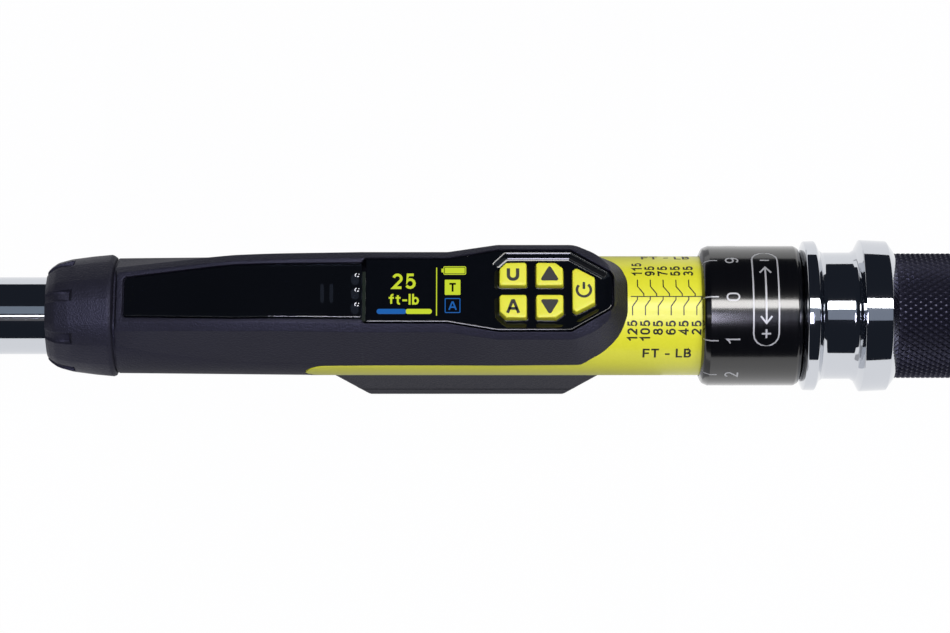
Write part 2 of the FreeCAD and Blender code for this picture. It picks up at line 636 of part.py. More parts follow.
def scale_sleeve():
    core = ring_x(SLEEVE_STEP_R, SLEEVE_BORE_R, *SLEEVE_X)
    band = ring_x(SLEEVE_R, SLEEVE_STEP_R - 0.2, STRIPE_X - 1, SLEEVE_X[1])
    covered = footprint(0.06).cut(stripe_cutter(-0.06))
    covered = covered.cut(block(262.0, 300, -30, 30, -40, -4)).fuse(lower_footprint(0.06))
    band = band.cut(covered).cut(hump(-0.06, CASE_SPLIT_Z, HUMP_Z + 0.1))
    tip = turned([(SLEEVE_X[1] - 0.5, SLEEVE_R + 0.5), (SLEEVE_X[1] + 0.1, SLEEVE_R + 0.5),
                  (SLEEVE_X[1] + 0.1, SLEEVE_R - 0.6)])
    body = joined([core, band]).cut(tip)
    body = body.cut(slab([(151.5, 1.6), (166.0, 1.6), (166.0, -1.6), (151.5, -1.6)], 1.5, 10, 20))
    for inward, head_top in housing_screw_places():
        body = body.cut(Part.makeCylinder(0.95, 4.0, head_top, inward))
    return body




def lower_footprint(grow):
    """The lower shell's plan below the stripe: straight flanks and rounded ends."""
    plan = mirrored([(STRIPE_X + 1.2 - grow, 17.5), (275.0 + grow, 17.5)])
    radii = [0, 11, 11, 0]
    return slab(plan, radii, -40, -3.0).cut(stripe_cutter(-grow))


def hump(inward, z0, z1):
    """Battery case's drafted block under the sleeve, between two heights."""
    def plan(z):
        down = (CASE_TOP_Z - z) / (CASE_TOP_Z - CASE_FOOT_Z)
        x0, x1 = CASE_TOP_X[0] + CASE_DRAFT * down + inward, CASE_TOP_X[1] - CASE_DRAFT * down - inward
        y = 15.5 - 0.5 * down - inward
        return mirrored([(x0, y), (x1, y)])
    r = max(0.8, CASE_CORNER_R - inward)
    return tapered(plan(z0), plan(z1), r, z0, z1)


def battery_case():
    skin = ring_x(17.08, SLEEVE_STEP_R + 0.03, STRIPE_X + 1.3, 280.0).common(lower_footprint(0.0))
    box = hump(0, CASE_SPLIT_Z, HUMP_Z).cut(cyl_x(SLEEVE_STEP_R + 0.03, 150, 300)).cut(stripe_cutter(0.0))
    body = skin.fuse(box)
    body = body.cut(hump(2.2, CASE_SPLIT_Z - 1, -10.0))
    for axis, foot in housing_screw_places():
        body = body.cut(Part.makeCylinder(1.75, 3.0, foot - axis * 2.0, axis))
    for x in CASE_BOSSES:
        post = cyl_z(3.0, CASE_SPLIT_Z + 0.3, -14.0, x=x)
        body = body.fuse(post.cut(cyl_x(SLEEVE_STEP_R + 0.03, 150, 300)))
        body = body.cut(cyl_z(1.2, CASE_SPLIT_Z - 1, -17.5, x=x))
    return body.removeSplitter()


CASE_BOSSES = (205.3, 258.5)


def battery_door():
    body = hump(0, CASE_FOOT_Z, CASE_SPLIT_Z - 0.35)
    body = round_edges(body, 0.9, lambda e: abs(e.BoundBox.ZMax - CASE_FOOT_Z) < 1e-3)
    body = body.cut(hump(1.8, CASE_FOOT_Z + 1.8, CASE_SPLIT_Z + 1))
    for x in CASE_BOSSES:
        boss = cyl_z(2.9, CASE_FOOT_Z + 1.0, CASE_SPLIT_Z - 0.4, x=x)
        body = body.fuse(boss.common(hump(0.5, CASE_FOOT_Z + 0.5, CASE_SPLIT_Z)))
        body = body.cut(cyl_z(1.5, CASE_FOOT_Z - 1, 0, x=x)).cut(cyl_z(2.4, CASE_FOOT_Z - 1, CASE_FOOT_Z + 1.6, x=x))
    return body.removeSplitter()


def door_gasket():
    outer = hump(1.0, CASE_SPLIT_Z - 0.34, CASE_SPLIT_Z - 0.01)
    return outer.cut(hump(1.75, CASE_SPLIT_Z - 1, CASE_SPLIT_Z + 1))


def door_screws():
    screws = []
    for x in CASE_BOSSES:
        screw = cyl_z(1.15, CASE_FOOT_Z + 1.5, -18.0, x=x)
        screw = screw.fuse(cyl_z(2.25, CASE_FOOT_Z + 0.3, CASE_FOOT_Z + 1.6, x=x))
        cross = block(x - 1.6, x + 1.6, -0.35, 0.35, CASE_FOOT_Z, CASE_FOOT_Z + 0.9)
        cross = cross.fuse(block(x - 0.35, x + 0.35, -1.6, 1.6, CASE_FOOT_Z, CASE_FOOT_Z + 0.9))
        screws.append(screw.removeSplitter().cut(cross))
    return Part.makeCompound(screws)


CELL_X0 = 209.6
CELL_Z = -20.9
CELL_PITCH = 11.2               # between the two cells' axes
CONTACT_GAP, CONTACT_T = 0.7, 0.4
LEAF_HALF, LEAF_WIDE, LEAF_T = 3.6, 4.0, 0.2


def battery_cells():
    cells = []
    for s in (1, -1):
        x0, x1 = CELL_X0, CELL_X0 + CELL_LENGTH
        can_ends = (x0 + (1.0 if s < 0 else 0), x1 - (1.0 if s > 0 else 0))
        can = cyl_x(CELL_R, *can_ends, y=s * CELL_PITCH / 2, z=CELL_Z)
        tip_ends = (x1 - 1.1, x1) if s > 0 else (x0, x0 + 1.1)
        tip = cyl_x(1.9, *tip_ends, y=s * CELL_PITCH / 2, z=CELL_Z)
        cells.append(can.fuse(tip).removeSplitter())
    return Part.makeCompound(cells)


def battery_contacts():
    """A plate at each end, with a bowed leaf pressed from it towards each cell's flat end."""
    parts = []
    for x, side in ((CELL_X0, -1), (CELL_X0 + CELL_LENGTH, 1)):
        near, far = x + side * CONTACT_GAP, x + side * (CONTACT_GAP + CONTACT_T)
        plate = block(min(near, far), max(near, far), -9.8, 9.8, CELL_Z - 4.0, CELL_Z + 3.6)
        y = -side * CELL_PITCH / 2
        crest = x + side * 0.02
        outer = Part.Arc(V(near, y - LEAF_HALF, 0), V(crest, y, 0), V(near, y + LEAF_HALF, 0)).toShape()
        inner = Part.Arc(
            V(near, y + LEAF_HALF - LEAF_T, 0),
            V(crest + side * LEAF_T, y, 0),
            V(near, y - LEAF_HALF + LEAF_T, 0),
        ).toShape()
        feet = [
            Part.makeLine(V(near, y + LEAF_HALF, 0), V(near, y + LEAF_HALF - LEAF_T, 0)),
            Part.makeLine(V(near, y - LEAF_HALF + LEAF_T, 0), V(near, y - LEAF_HALF, 0)),
        ]
        leaf = Part.Face(Part.Wire([outer, feet[0], inner, feet[1]])).extrude(V(0, 0, LEAF_WIDE))
        leaf.translate(V(0, 0, CELL_Z - LEAF_WIDE / 2))
        parts.append(plate.fuse(leaf).removeSplitter())
    return Part.makeCompound(parts)


HOUSING_SCREW_X = (191.6, 272.7)


def housing_screw_places():
    """Inward direction and head's underside for the four screws that hold the case to the sleeve."""
    places = []
    for x in HOUSING_SCREW_X:
        for s in (1, -1):
            inward = V(0, -s * math.sin(math.radians(38)), math.cos(math.radians(38)))
            places.append((inward, V(x, 0, 0) - inward * (SLEEVE_STEP_R + 0.9)))
    return places


def housing_screws():
    screws = []
    for inward, head_top in housing_screw_places():
        head = Part.makeCylinder(1.7, 0.85, head_top, inward)
        shank = Part.makeCylinder(0.9, 2.2, head_top, inward)
        slot = Part.makeBox(3.6, 0.5, 0.7)
        slot.translate(V(-1.8, -0.25, -0.2))
        slot.Placement = FreeCAD.Placement(head_top, FreeCAD.Rotation(V(0, 0, 1), inward)).multiply(slot.Placement)
        screws.append(head.fuse(shank).removeSplitter().cut(slot))
    return Part.makeCompound(screws)


def gauge_leads():
    """Flat lead from the gauges, up through the tube and sleeve to the board."""
    path = [(98.0, 4.1), (109.0, 4.1), (121.0, 12.1), (152.0, 12.1), (163.0, 16.3), (169.8, 16.3)]
    below = [(x, z) for x, z in reversed(path)]
    above = [(x, z + 0.35) for x, z in path]
    wire = outline(above + below, 0, lambda u, v: V(u, -1.2, v))
    return Part.Face(wire).extrude(V(0, 2.4, 0))


def front_collar():
    """Screwed ring that closes the housing's front, with eight finger slots."""
    x0, x1 = COLLAR_X
    profile = [(x0, 11.3), (x0, 12.5), (x0 + 0.3, 13.2), (x0 + 1.0, 13.9), (x0 + 2.9, 15.2), (x0 + 6.5, 16.2),
               (x0 + 10.0, 16.8), (x0 + 13.5, 17.15), (x0 + 18.7, 17.67), (x1 - 0.3, 16.7),
               (x1, 16.4), (x1, 14.1), (x0 + 5.0, 14.1), (x0 + 5.0, 12.6), (x0 + 2.0, 12.6), (x0 + 2.0, 11.3)]
    body = turned(profile)
    for k in range(8):
        slot = block(x0 - 1, x0 + 8.6, -1.6, 1.6, 14.9, 20)
        body = body.cut(turned_about_x(slot, -2.7 + 45 * k))
    return body


def front_seal():
    return ring_x(12.55, 11.15, COLLAR_X[0] + 2.1, COLLAR_X[0] + 4.9)


def front_bush():
    """Split clamp bush that grips the tube and carries the collar's thread and the sleeve's front."""
    bush = turned([(118.0, TUBE_R + 0.01), (118.0, 14.0), (138.0, 14.0), (138.0, 13.9), (150.0, 13.9),
                   (150.0, TUBE_R + 0.01)])
    return bush.cut(block(110, 160, -1.7, 1.7, 5, 20))


def rear_bush():
    return ring_x(SLEEVE_BORE_R - 0.02, TUBE_R + 0.01, 284.0, 300.0)


# ---- handle ----
def thimble():
    """Black drum with the single ft-lb divisions; its skirt slides over the sleeve."""
    x0, x1 = THIMBLE_X
    return turned([(x0, THIMBLE_BORE_R), (x0, 17.7), (x0 + 2.3, THIMBLE_R), (x1 - 1.6, THIMBLE_R),
                   (x1 - 0.5, 19.6), (x1, 18.6), (x1, NECK_R + 0.02),
                   (NECK_X0, NECK_R + 0.02), (NECK_X0, THIMBLE_BORE_R)])


def handle_grip():
    x0, x1 = GRIP_X
    body = turned([(NECK_X0, NECK_BORE_R), (NECK_X0, NECK_R), (x0, NECK_R), (x0, GRIP_R), (x1, GRIP_R),
                   (x1, 12.6), (x1 - 8.0, 12.6), (x1 - 8.0, GRIP_BORE_R), (370.0, GRIP_BORE_R),
                   (370.0, NECK_BORE_R)])
    for s in (1, -1):
        body = body.cut(cyl_z(BALL_R + 0.06, min(0, s * 20), max(0, s * 20), x=BALL_X).common(cyl_x(20, 300, 360)))
    ring_seat = ring_x(NECK_R + 0.5, NECK_R - 0.9, 345.3, 346.7)
    return body.cut(ring_seat)


def collar_ring():
    """Sprung wire ring in the neck's groove, which holds the lock collar in either place."""
    ring = Part.makeTorus(NECK_R - 0.4, 0.45, V(346.0, 0, 0), V(1, 0, 0))
    gap = block(340, 350, 0, 30, -1.4, 1.4)
    return ring.cut(gap)


def lock_collar():
    """Chromed collar with a finger groove between two flanges.

    Pulled back, its cone drives the two balls down into the bush's grooves and the handle can't turn.
    """
    x0, x1 = LOCK_X
    bore = NECK_R + 0.1
    room = BALL_OUT + BALL_R + 0.12
    cone_x = BALL_X - 0.4
    slope = BALL_DROP / LOCK_TRAVEL
    outside = [(x0, bore), (x0, 18.4), (x0 + 0.9, 21.3), (x0 + 1.4, 21.5), (x0 + 4.1, 21.5), (x0 + 4.5, 21.2),
               (x0 + 5.4, 18.9), (x0 + 6.2, 18.2), (x0 + 14.2, 18.2), (x0 + 15.2, 18.9), (x0 + 16.6, 21.5),
               (x0 + 17.0, 21.85), (x0 + 24.4, 21.47), (x0 + 25.0, 21.0), (x1, 18.6)]
    inside = [(x1, 18.15), (x1 - 5.4, 18.15), (x1 - 5.4, bore)]
    for ring_x0 in (346.0, 346.0 - LOCK_TRAVEL):
        inside += [(ring_x0 + 1.1, bore), (ring_x0 + 0.6, bore + 0.4), (ring_x0 - 0.6, bore + 0.4),
                   (ring_x0 - 1.1, bore)]
    inside += [(337.5, bore), (337.5, room), (cone_x, room), (cone_x - (room - bore) / slope, bore)]
    return turned(outside + inside)


def lock_ball(side):
    return Part.makeSphere(BALL_R, V(BALL_X, 0, side * BALL_OUT))


def adjusting_screw():
    thread = cyl_x(SCREW_R, 312.0, 452.0)
    nose = turned([(SEAT_X[1] + 3.0, 0), (SEAT_X[1] + 3.0, 3.0), (SEAT_X[1] + 5.0, 4.3), (312.1, 4.3), (312.1, 0)])
    cup = Part.makeSphere(3.02, V(SEAT_X[1] + 0.6, 0, 0))
    flange = cyl_x(12.4, 456.2, 459.0)
    body = joined([thread, nose, cyl_x(SCREW_R, 451.0, 458.9), flange, cyl_x(3.0, 458.9, 467.0)])
    return body.cut(cup)


def screw_end_nut():
    hexagon = outline([(5.5 * math.cos(math.radians(60 * k)), 5.5 * math.sin(math.radians(60 * k))) for k in range(6)],
                      0, lambda u, v: V(459.1, u, v))
    return Part.Face(hexagon).extrude(V(4.5, 0, 0)).cut(cyl_x(3.02, 450, 470))


def end_cap():
    x0, x1 = CAP_X
    rim = turned([(x0 + 0.02, 0), (x0 + 0.02, GRIP_R + 0.1), (x0 + 4.5, GRIP_R + 0.1), (x1 - 0.8, GRIP_R - 1.6),
                  (x1, GRIP_R - 3.4), (x1, 0)])
    skirt = ring_x(12.5, 7.2, x0 - 4.8, x0 + 0.2)
    return joined([rim, skirt]).cut(cyl_x(7.2, x0 - 5, x0 + 3.8))


PARTS = {
    "ratchet_head": ratchet_head,
    "head_cover": head_cover,
    "cover_screws": cover_screws,
    "strain_gauges": strain_gauges,
    "drive_gear": drive_gear,
    "drive_ball": drive_ball,
    "drive_ball_spring": drive_ball_spring,
    "reverse_lever": reverse_lever,
    "lever_plunger": lever_plunger,
    "plunger_spring": plunger_spring,
    "pawl": pawl,
    "tube": tube,
    "pivot_pin": pivot_pin,
    "piston": piston,
    "roller_pin": roller_pin,
    "click_roller": click_roller,
    "main_spring": main_spring,
    "spring_seat": spring_seat,
    "thrust_ball": thrust_ball,
    "screw_nut": screw_nut,
    "nut_pins": nut_pins,
    "grooved_bush": grooved_bush,
    "front_collar": front_collar,
    "front_seal": front_seal,
    "front_bush": front_bush,
    "scale_sleeve": scale_sleeve,
    "rear_bush": rear_bush,
    "upper_shell": upper_shell,
    "led_window": led_window,
    "display_lens": display_lens,
    "display_module": display_module,
    "main_board": main_board,
    "board_chips": board_chips,
    "key_switches": key_switches,
    "keypad_mat": keypad_mat,
    "indicator_leds": indicator_leds,
    "light_pipes": light_pipes,
    "buzzer": buzzer,
    "battery_case": battery_case,
    "battery_door": battery_door,
    "door_gasket": door_gasket,
    "door_screws": door_screws,
    "battery_cells": battery_cells,
    "battery_contacts": battery_contacts,
    "housing_screws": housing_screws,
    "gauge_leads": gauge_leads,
    "thimble": thimble,
    "handle_grip": handle_grip,
    "collar_ring": collar_ring,
    "lock_collar": lock_collar,
    "lock_ball_upper": lambda: lock_ball(1),
    "lock_ball_lower": lambda: lock_ball(-1),
    "adjusting_screw": adjusting_screw,
    "screw_end_nut": screw_end_nut,
    "end_cap": end_cap,
}
for key in KEYS:
    PARTS[key] = lambda name=key: button(name)


def main():
    os.makedirs("parts", exist_ok=True)
    for name, make in PARTS.items():
        shape = make()
        shape.translate(V(0, 0, DRIVE_DROP))
        solids = len(shape.Solids)
        print(f"{name:20s} valid={shape.isValid()} solids={solids} volume={shape.Volume:.1f}", flush=True)
        shape.exportStep(f"parts/{name}.step")


main()
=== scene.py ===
import math

import bmesh
import bpy
from mathutils import Matrix, Vector


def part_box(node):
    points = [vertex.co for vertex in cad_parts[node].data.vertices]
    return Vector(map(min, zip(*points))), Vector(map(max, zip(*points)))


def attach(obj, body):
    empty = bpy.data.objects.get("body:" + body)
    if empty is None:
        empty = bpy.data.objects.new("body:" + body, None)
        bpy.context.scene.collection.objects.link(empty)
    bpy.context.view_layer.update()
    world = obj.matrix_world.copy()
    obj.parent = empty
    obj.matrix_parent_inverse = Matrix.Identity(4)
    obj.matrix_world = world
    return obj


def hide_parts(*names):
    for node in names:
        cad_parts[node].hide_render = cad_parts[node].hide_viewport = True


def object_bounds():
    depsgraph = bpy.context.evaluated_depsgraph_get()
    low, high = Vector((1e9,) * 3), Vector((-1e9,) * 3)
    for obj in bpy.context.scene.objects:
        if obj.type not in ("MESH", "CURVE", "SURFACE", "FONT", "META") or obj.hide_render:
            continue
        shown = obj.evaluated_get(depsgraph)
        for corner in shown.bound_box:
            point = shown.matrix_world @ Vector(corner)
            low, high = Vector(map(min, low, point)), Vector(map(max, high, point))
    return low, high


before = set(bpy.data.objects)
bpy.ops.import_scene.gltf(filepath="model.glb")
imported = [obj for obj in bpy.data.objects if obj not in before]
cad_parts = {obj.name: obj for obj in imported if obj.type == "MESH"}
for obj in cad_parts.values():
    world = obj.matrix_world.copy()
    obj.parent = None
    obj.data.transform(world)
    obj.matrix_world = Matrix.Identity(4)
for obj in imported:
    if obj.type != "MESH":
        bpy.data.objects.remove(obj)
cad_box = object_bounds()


# ---- Ratchet head, its cover plate and the reversing lever ----
# A drop-forged chrome-vanadium head whose eye holds the ratchet gear, closed above by a pressed plate and
# three socket screws. Polished, then plated with nickel and a thin satin-bright layer of chromium.

def linear(code):
    """An sRGB hex colour as linear red, green, blue and alpha."""
    channels = [int(code[i:i + 2], 16) / 255 for i in (1, 3, 5)]
    return [c / 12.92 if c <= 0.04045 else ((c + 0.055) / 1.055) ** 2.4 for c in channels] + [1.0]


def add(tree, kind, settings=None, wires=()):
    """Adds a node: settings are its properties and unlinked inputs, wires are (input, node, output)."""
    made = tree.nodes.new("ShaderNode" + kind)
    for key, value in (settings or {}).items():
        if isinstance(key, str) and hasattr(made, key):
            setattr(made, key, value)
        else:
            made.inputs[key].default_value = value
    for socket, source, output in wires:
        tree.links.new(source.outputs[output], made.inputs[socket])
    return made


def finish_of(name, sockets):
    """A new material: its tree, its shader with those sockets set, and the object's own coordinates."""
    material = bpy.data.materials.new(name)
    material.use_nodes = True
    tree = material.node_tree
    shader = tree.nodes["Principled BSDF"]
    for key, value in sockets.items():
        shader.inputs[key].default_value = value
    return material, tree, shader, add(tree, "TexCoord")


def metal(code, **others):
    """The sockets that every metal's shader sets."""
    return {"Base Color": linear(code), "Metallic": 1.0, **others}


def link(tree, source, output, target, socket):
    tree.links.new(source.outputs[output], target.inputs[socket])


def mottle(shader, where, scale, detail, tint=(), haze=(), relief=(), rounding=0.0, stretch=()):
    """A cloudy pattern in a finish: it can vary the colour, vary the roughness, and stand out as relief.

    The relief is its strength and its height in metres; rounding is the radius that softens the edges."""
    tree = shader.id_data
    source, output = where, "Object"
    if stretch:
        source, output = add(tree, "Mapping", {"Scale": stretch}, [("Vector", where, "Object")]), "Vector"
    cloud = add(tree, "TexNoise", {"Scale": scale, "Detail": detail}, [("Vector", source, output)])
    if tint:
        colour = add(tree, "Mix", {"data_type": "RGBA", 6: linear(tint[0]), 7: linear(tint[1])},
                     [("Factor", cloud, "Fac")])
        link(tree, colour, 2, shader, "Base Color")
    if haze:
        dull = add(tree, "MapRange", {"To Min": haze[0], "To Max": haze[1]}, [("Value", cloud, "Fac")])
        link(tree, dull, "Result", shader, "Roughness")
    edge = add(tree, "Bevel", {"samples": 4, "Radius": rounding}) if rounding else None
    if relief:
        wires = [("Height", cloud, "Fac")] + ([("Normal", edge, "Normal")] if edge else [])
        raised = add(tree, "Bump", {"Strength": relief[0], "Distance": relief[1]}, wires)
        link(tree, raised, "Normal", shader, "Normal")
    elif edge:
        link(tree, edge, "Normal", shader, "Normal")
    return cloud


def dress(material, *nodes):
    """Gives CAD nodes a material, and smooth shading except across their real edges."""
    for name in nodes:
        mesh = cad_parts[name].data
        mesh.materials.clear()
        mesh.materials.append(material)
        if "custom_normal" in mesh.attributes:
            mesh.attributes.remove(mesh.attributes["custom_normal"])
        mesh.shade_smooth()
        mesh.set_sharp_from_angle(angle=math.radians(30))


# Polished chromium on a forging: mirror-like, with faint waves left by the belt and fine dulling.
forged_chrome, tree, shader, where = finish_of("chrome_plated_forging", metal("#c9ccd0"))
mottle(shader, where, 260.0, 4.0, haze=(0.10, 0.22), relief=(0.10, 0.0001), rounding=0.0005)
dress(forged_chrome, "ratchet_head", "head_cover", "reverse_lever")


# ---- Ratchet gear with its square, the pawl and the works around them ----
# Hardened tool steel, ground where it runs and lightly oiled. The square's sprung ball holds a socket.

# Ground steel: grey, with fine grinding lines across it that spread the highlight.
ground_steel, tree, shader, where = finish_of("ground_tool_steel", metal("#8f9092"))
mottle(shader, where, 1.0, 3.0, haze=(0.22, 0.38), relief=(0.12, 0.00005), rounding=0.0003,
       stretch=(300.0, 300.0, 6000.0))
dress(ground_steel, "drive_gear", "pawl", "pivot_pin", "piston", "roller_pin", "click_roller", "nut_pins",
      "lever_plunger", "spring_seat", "screw_nut", "adjusting_screw", "screw_end_nut", "grooved_bush",
      "key_switches")

# Bearing steel: lapped bright, with only a trace of haze.
ball_steel, tree, shader, where = finish_of("lapped_bearing_steel", metal("#b4b5b8"))
mottle(shader, where, 900.0, 2.0, haze=(0.06, 0.12))
dress(ball_steel, "drive_ball", "thrust_ball", "lock_ball_upper", "lock_ball_lower")

# Drawn spring wire: dark, oiled, streaked along the wire by the die.
spring_wire, tree, shader, where = finish_of("drawn_spring_steel", metal("#5d5e62"))
mottle(shader, where, 1400.0, 3.0, haze=(0.28, 0.45))
dress(spring_wire, "drive_ball_spring", "plunger_spring", "main_spring", "collar_ring", "battery_contacts")

# Black oxide on screws: nearly black steel with a dull oily sheen.
black_oxide, tree, shader, where = finish_of("black_oxide_steel", metal("#3a3a3c"))
mottle(shader, where, 700.0, 4.0, haze=(0.30, 0.48), rounding=0.00015)
dress(black_oxide, "cover_screws", "door_screws", "housing_screws")


# ---- Strain gauges and their lead ----
# Foil gauges on polyimide, bonded to the tang's flanks, with a flat lead up to the board.

# Polyimide film: amber and glossy, with the foil's fine grid dulling it.
polyimide, tree, shader, where = finish_of("polyimide_film", {"Roughness": 0.28})
grid = add(tree, "TexWave", {"Scale": 1500.0, "Distortion": 0.4}, [("Vector", where, "Object")])
tint = add(tree, "Mix", {"data_type": "RGBA", 6: linear("#b9782c"), 7: linear("#8a5a22")},
           [("Factor", grid, "Fac")])
link(tree, tint, 2, shader, "Base Color")
dress(polyimide, "strain_gauges", "gauge_leads")


# ---- Tube ----
# Seamless steel tube, drawn, polished and chromium plated. Everything else is clamped on it or runs in it.

# Bright chromium on a buffed tube: a mirror, with hairline buffing marks round it.
bright_chrome, tree, shader, where = finish_of("bright_chromium_plate", metal("#cdd0d6"))
mottle(shader, where, 1.0, 3.0, haze=(0.03, 0.07), relief=(0.02, 0.00003), stretch=(5000.0, 400.0, 400.0))
dress(bright_chrome, "tube")


# ---- Clamp bushes inside the housing ----
# Turned from aluminium bar: they grip the tube and carry the collar's thread and the yellow sleeve.

# Turned aluminium: bright, with the tool's fine spiral round it.
turned_aluminium, tree, shader, where = finish_of(
    "turned_aluminium", metal("#c4c5c7", Roughness=0.3))
spiral = add(tree, "TexWave", {"Scale": 1200.0, "Distortion": 0.2}, [("Vector", where, "Object")])
cut = add(tree, "Bump", {"Strength": 0.15, "Distance": 0.00005}, [("Height", spiral, "Fac")])
link(tree, cut, "Normal", shader, "Normal")
dress(turned_aluminium, "front_bush", "rear_bush")


# ---- Front collar ----
# A moulded ring of glass-filled nylon, screwed on to close the housing's front. Eight slots round its nose
# take a pin spanner or fingers, and a ledge at its back shuts down on the housing with a thin dark gap.

MM = 0.001
low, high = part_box("tube")
AXIS = (low.z + high.z) / 2          # height of the tube's centreline
ROUND = 160                          # facets round a turned piece


def span(node):
    """A CAD node's first and last x, in millimetres."""
    first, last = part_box(node)
    return first.x / MM, last.x / MM


def piece(name, points, faces, material, body, slot=None, stands_for=(), sharp=32):
    """A mesh from points in millimetres about the centreline, riding on a body."""
    mesh = bpy.data.meshes.new(name)
    mesh.from_pydata([(x * MM, y * MM, z * MM + AXIS) for x, y, z in points], [], faces)
    mesh.validate()
    shaped = bmesh.new()
    shaped.from_mesh(mesh)
    bmesh.ops.recalc_face_normals(shaped, faces=shaped.faces)
    shaped.to_mesh(mesh)
    shaped.free()
    mesh.materials.append(material)
    mesh.shade_smooth()
    mesh.set_sharp_from_angle(angle=math.radians(sharp))
    made = bpy.data.objects.new(name, mesh)
    bpy.context.scene.collection.objects.link(made)
    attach(made, body)
    if stands_for:
        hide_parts(*stands_for)
    return made


def eased(corners, closed=False, steps=5):
    """A line through corners, with each corner that gives a radius last turned into an arc."""
    line = []
    count = len(corners)
    for i, (*spot, radius) in enumerate(corners):
        here = Vector(spot)
        if radius == 0 or (not closed and i in (0, count - 1)):
            line.append(here)
            continue
        back = (Vector(corners[i - 1][:-1]) - here).normalized()
        on = (Vector(corners[(i + 1) % count][:-1]) - here).normalized()
        half = back.angle(on) / 2
        if half > math.radians(89.5):
            line += [here] * (steps + 1)
            continue
        middle = here + (back + on).normalized() * (radius / math.sin(half))
        start = here + back * (radius / math.tan(half)) - middle
        end = here + on * (radius / math.tan(half)) - middle
        sweep = start.angle(end)
        for k in range(steps + 1):
            part = k / steps
            share_a = math.sin((1 - part) * sweep) / math.sin(sweep)
            share_b = math.sin(part * sweep) / math.sin(sweep)
            line.append(middle + start * share_a + end * share_b)
    return line


def loft(loops, cap_first=False, cap_last=False, closed=True, wrapped=False):
    """Points and faces that join loops of equal counts; wrapped joins the last loop to the first."""
    count = len(loops[0])
    points = [p for loop in loops for p in loop]
    faces = []
    for i in range(len(loops) if wrapped else len(loops) - 1):
        j = (i + 1) % len(loops)
        for k in range(count if closed else count - 1):
            m = (k + 1) % count
            faces.append((i * count + k, i * count + m, j * count + m, j * count + k))
    if cap_first:
        faces.append(tuple(range(count)))
    if cap_last:
        faces.append(tuple(range(len(points) - count, len(points))))
    return points, faces


def circle(x, radius, angles):
    """Points round the centreline at x, each angle measured from the top towards +Y."""
    return [(x, radius * math.sin(a), radius * math.cos(a)) for a in angles]


def turn(profile, facets=ROUND):
    """Points and faces of a closed profile of (x, radius) turned about the centreline."""
    angles = [2 * math.pi * k / facets for k in range(facets)]
    return loft([circle(x, r, angles) for x, r in profile], wrapped=True)


# Glass-filled nylon from a spark-eroded mould: near-black and matt, with a fine grain that glints.
grained_nylon, tree, shader, where = finish_of(
    "spark_grained_nylon", {"IOR": 1.53, "Specular IOR Level": 0.42, "Specular Tint": linear("#d4d4ff")})
grain = add(tree, "TexNoise", {"Scale": 2000.0, "Detail": 1.0, "Roughness": 0.6},
            [("Vector", where, "Object")])
mottle(shader, where, 90.0, 3.0, tint=("#17171d", "#1e1e27"))
haze = add(tree, "MapRange", {"To Min": 0.42, "To Max": 0.60}, [("Value", grain, "Fac")])
edge = add(tree, "Bevel", {"samples": 4, "Radius": 0.0003})
spark = add(tree, "Bump", {"Strength": 1.0, "Distance": 0.00016},
            [("Height", grain, "Fac"), ("Normal", edge, "Normal")])
link(tree, haze, "Result", shader, "Roughness")
link(tree, spark, "Normal", shader, "Normal")

start, end = span("front_collar")
BORE = 11.35                         # radius of the hole for the tube
nose = eased([(start + dx, r, radius) for dx, r, radius in (
    (0.25, BORE, 0), (0.25, 12.9, 0.8), (1.2, 13.9, 1.0), (3.1, 15.25, 4.0), (7.0, 16.3, 8.0),
    (13.5, 17.15, 8.0), (18.6, 17.62, 0.35), (19.4, 17.3, 0.3), (19.85, 16.45, 0.1), (19.9, 14.3, 0))], steps=4)
stations = []
for a, b in zip(nose, nose[1:]):
    cuts = max(1, round(abs(b.x - a.x) / 0.8))
    stations += [a.lerp(b, k / cuts) for k in range(cuts)]
stations.append(nose[-1])
SLOTS = 8
SLOT_TURN = math.radians(2.7)        # the first slot's middle, from the top towards +Y
SLOT_HALF = math.radians(6.1)        # half the slot's width, at its floor
SLOT_FLOOR = 14.95                   # radius of the slot's floor
SLOT_DEPTH = 0.75                    # least depth, where the nose tapers
SLOT_END = start + 8.3
SLOT_WALL = 0.16                     # share of the half width that the sloping wall takes
OFFS = (-1.0, -0.87, -0.72, -0.4, 0.0, 0.4, 0.72, 0.87, 1.0, 1.2, 1.6, 2.0, 2.4, 2.69)
angles = [(2 * math.pi * k / SLOTS + SLOT_TURN + off * SLOT_HALF, off) for k in range(SLOTS) for off in OFFS]
loops = []
for x, nose_radius in stations:
    reach = min(1.0, max(0.0, (SLOT_END - x) / 0.7))
    loop = []
    for a, off in angles:
        r = nose_radius
        if abs(off) <= 1:
            wall = min(1.0, (1.0 - abs(off)) / SLOT_WALL)
            floor = min(SLOT_FLOOR, r - SLOT_DEPTH) / math.cos(off * SLOT_HALF)
            r -= max(0.0, r - floor) * wall * reach
        loop.append((x, r * math.sin(a), r * math.cos(a)))
    loops.append(loop)
loops.append(circle(end - 1.0, BORE, [a for a, _ in angles]))
piece("front_collar_ring", *loft(loops, wrapped=True), grained_nylon, "housing", "black_nylon",
      ["front_collar"])

# Moulded nitrile: dull black with a soft bloom.
seal_rubber, tree, shader, where = finish_of("moulded_nitrile", {"Roughness": 0.75})
mottle(shader, where, 1500.0, 3.0, tint=("#191919", "#262626"))
dress(seal_rubber, "front_seal", "door_gasket", "keypad_mat")


# ---- Yellow sleeve and its scale ----
# Drawn aluminium sleeve, sprayed yellow, with the scale printed in black ink. One division is one turn
# of the handle, 10 ft-lb, and the thimble's edge reads against it.

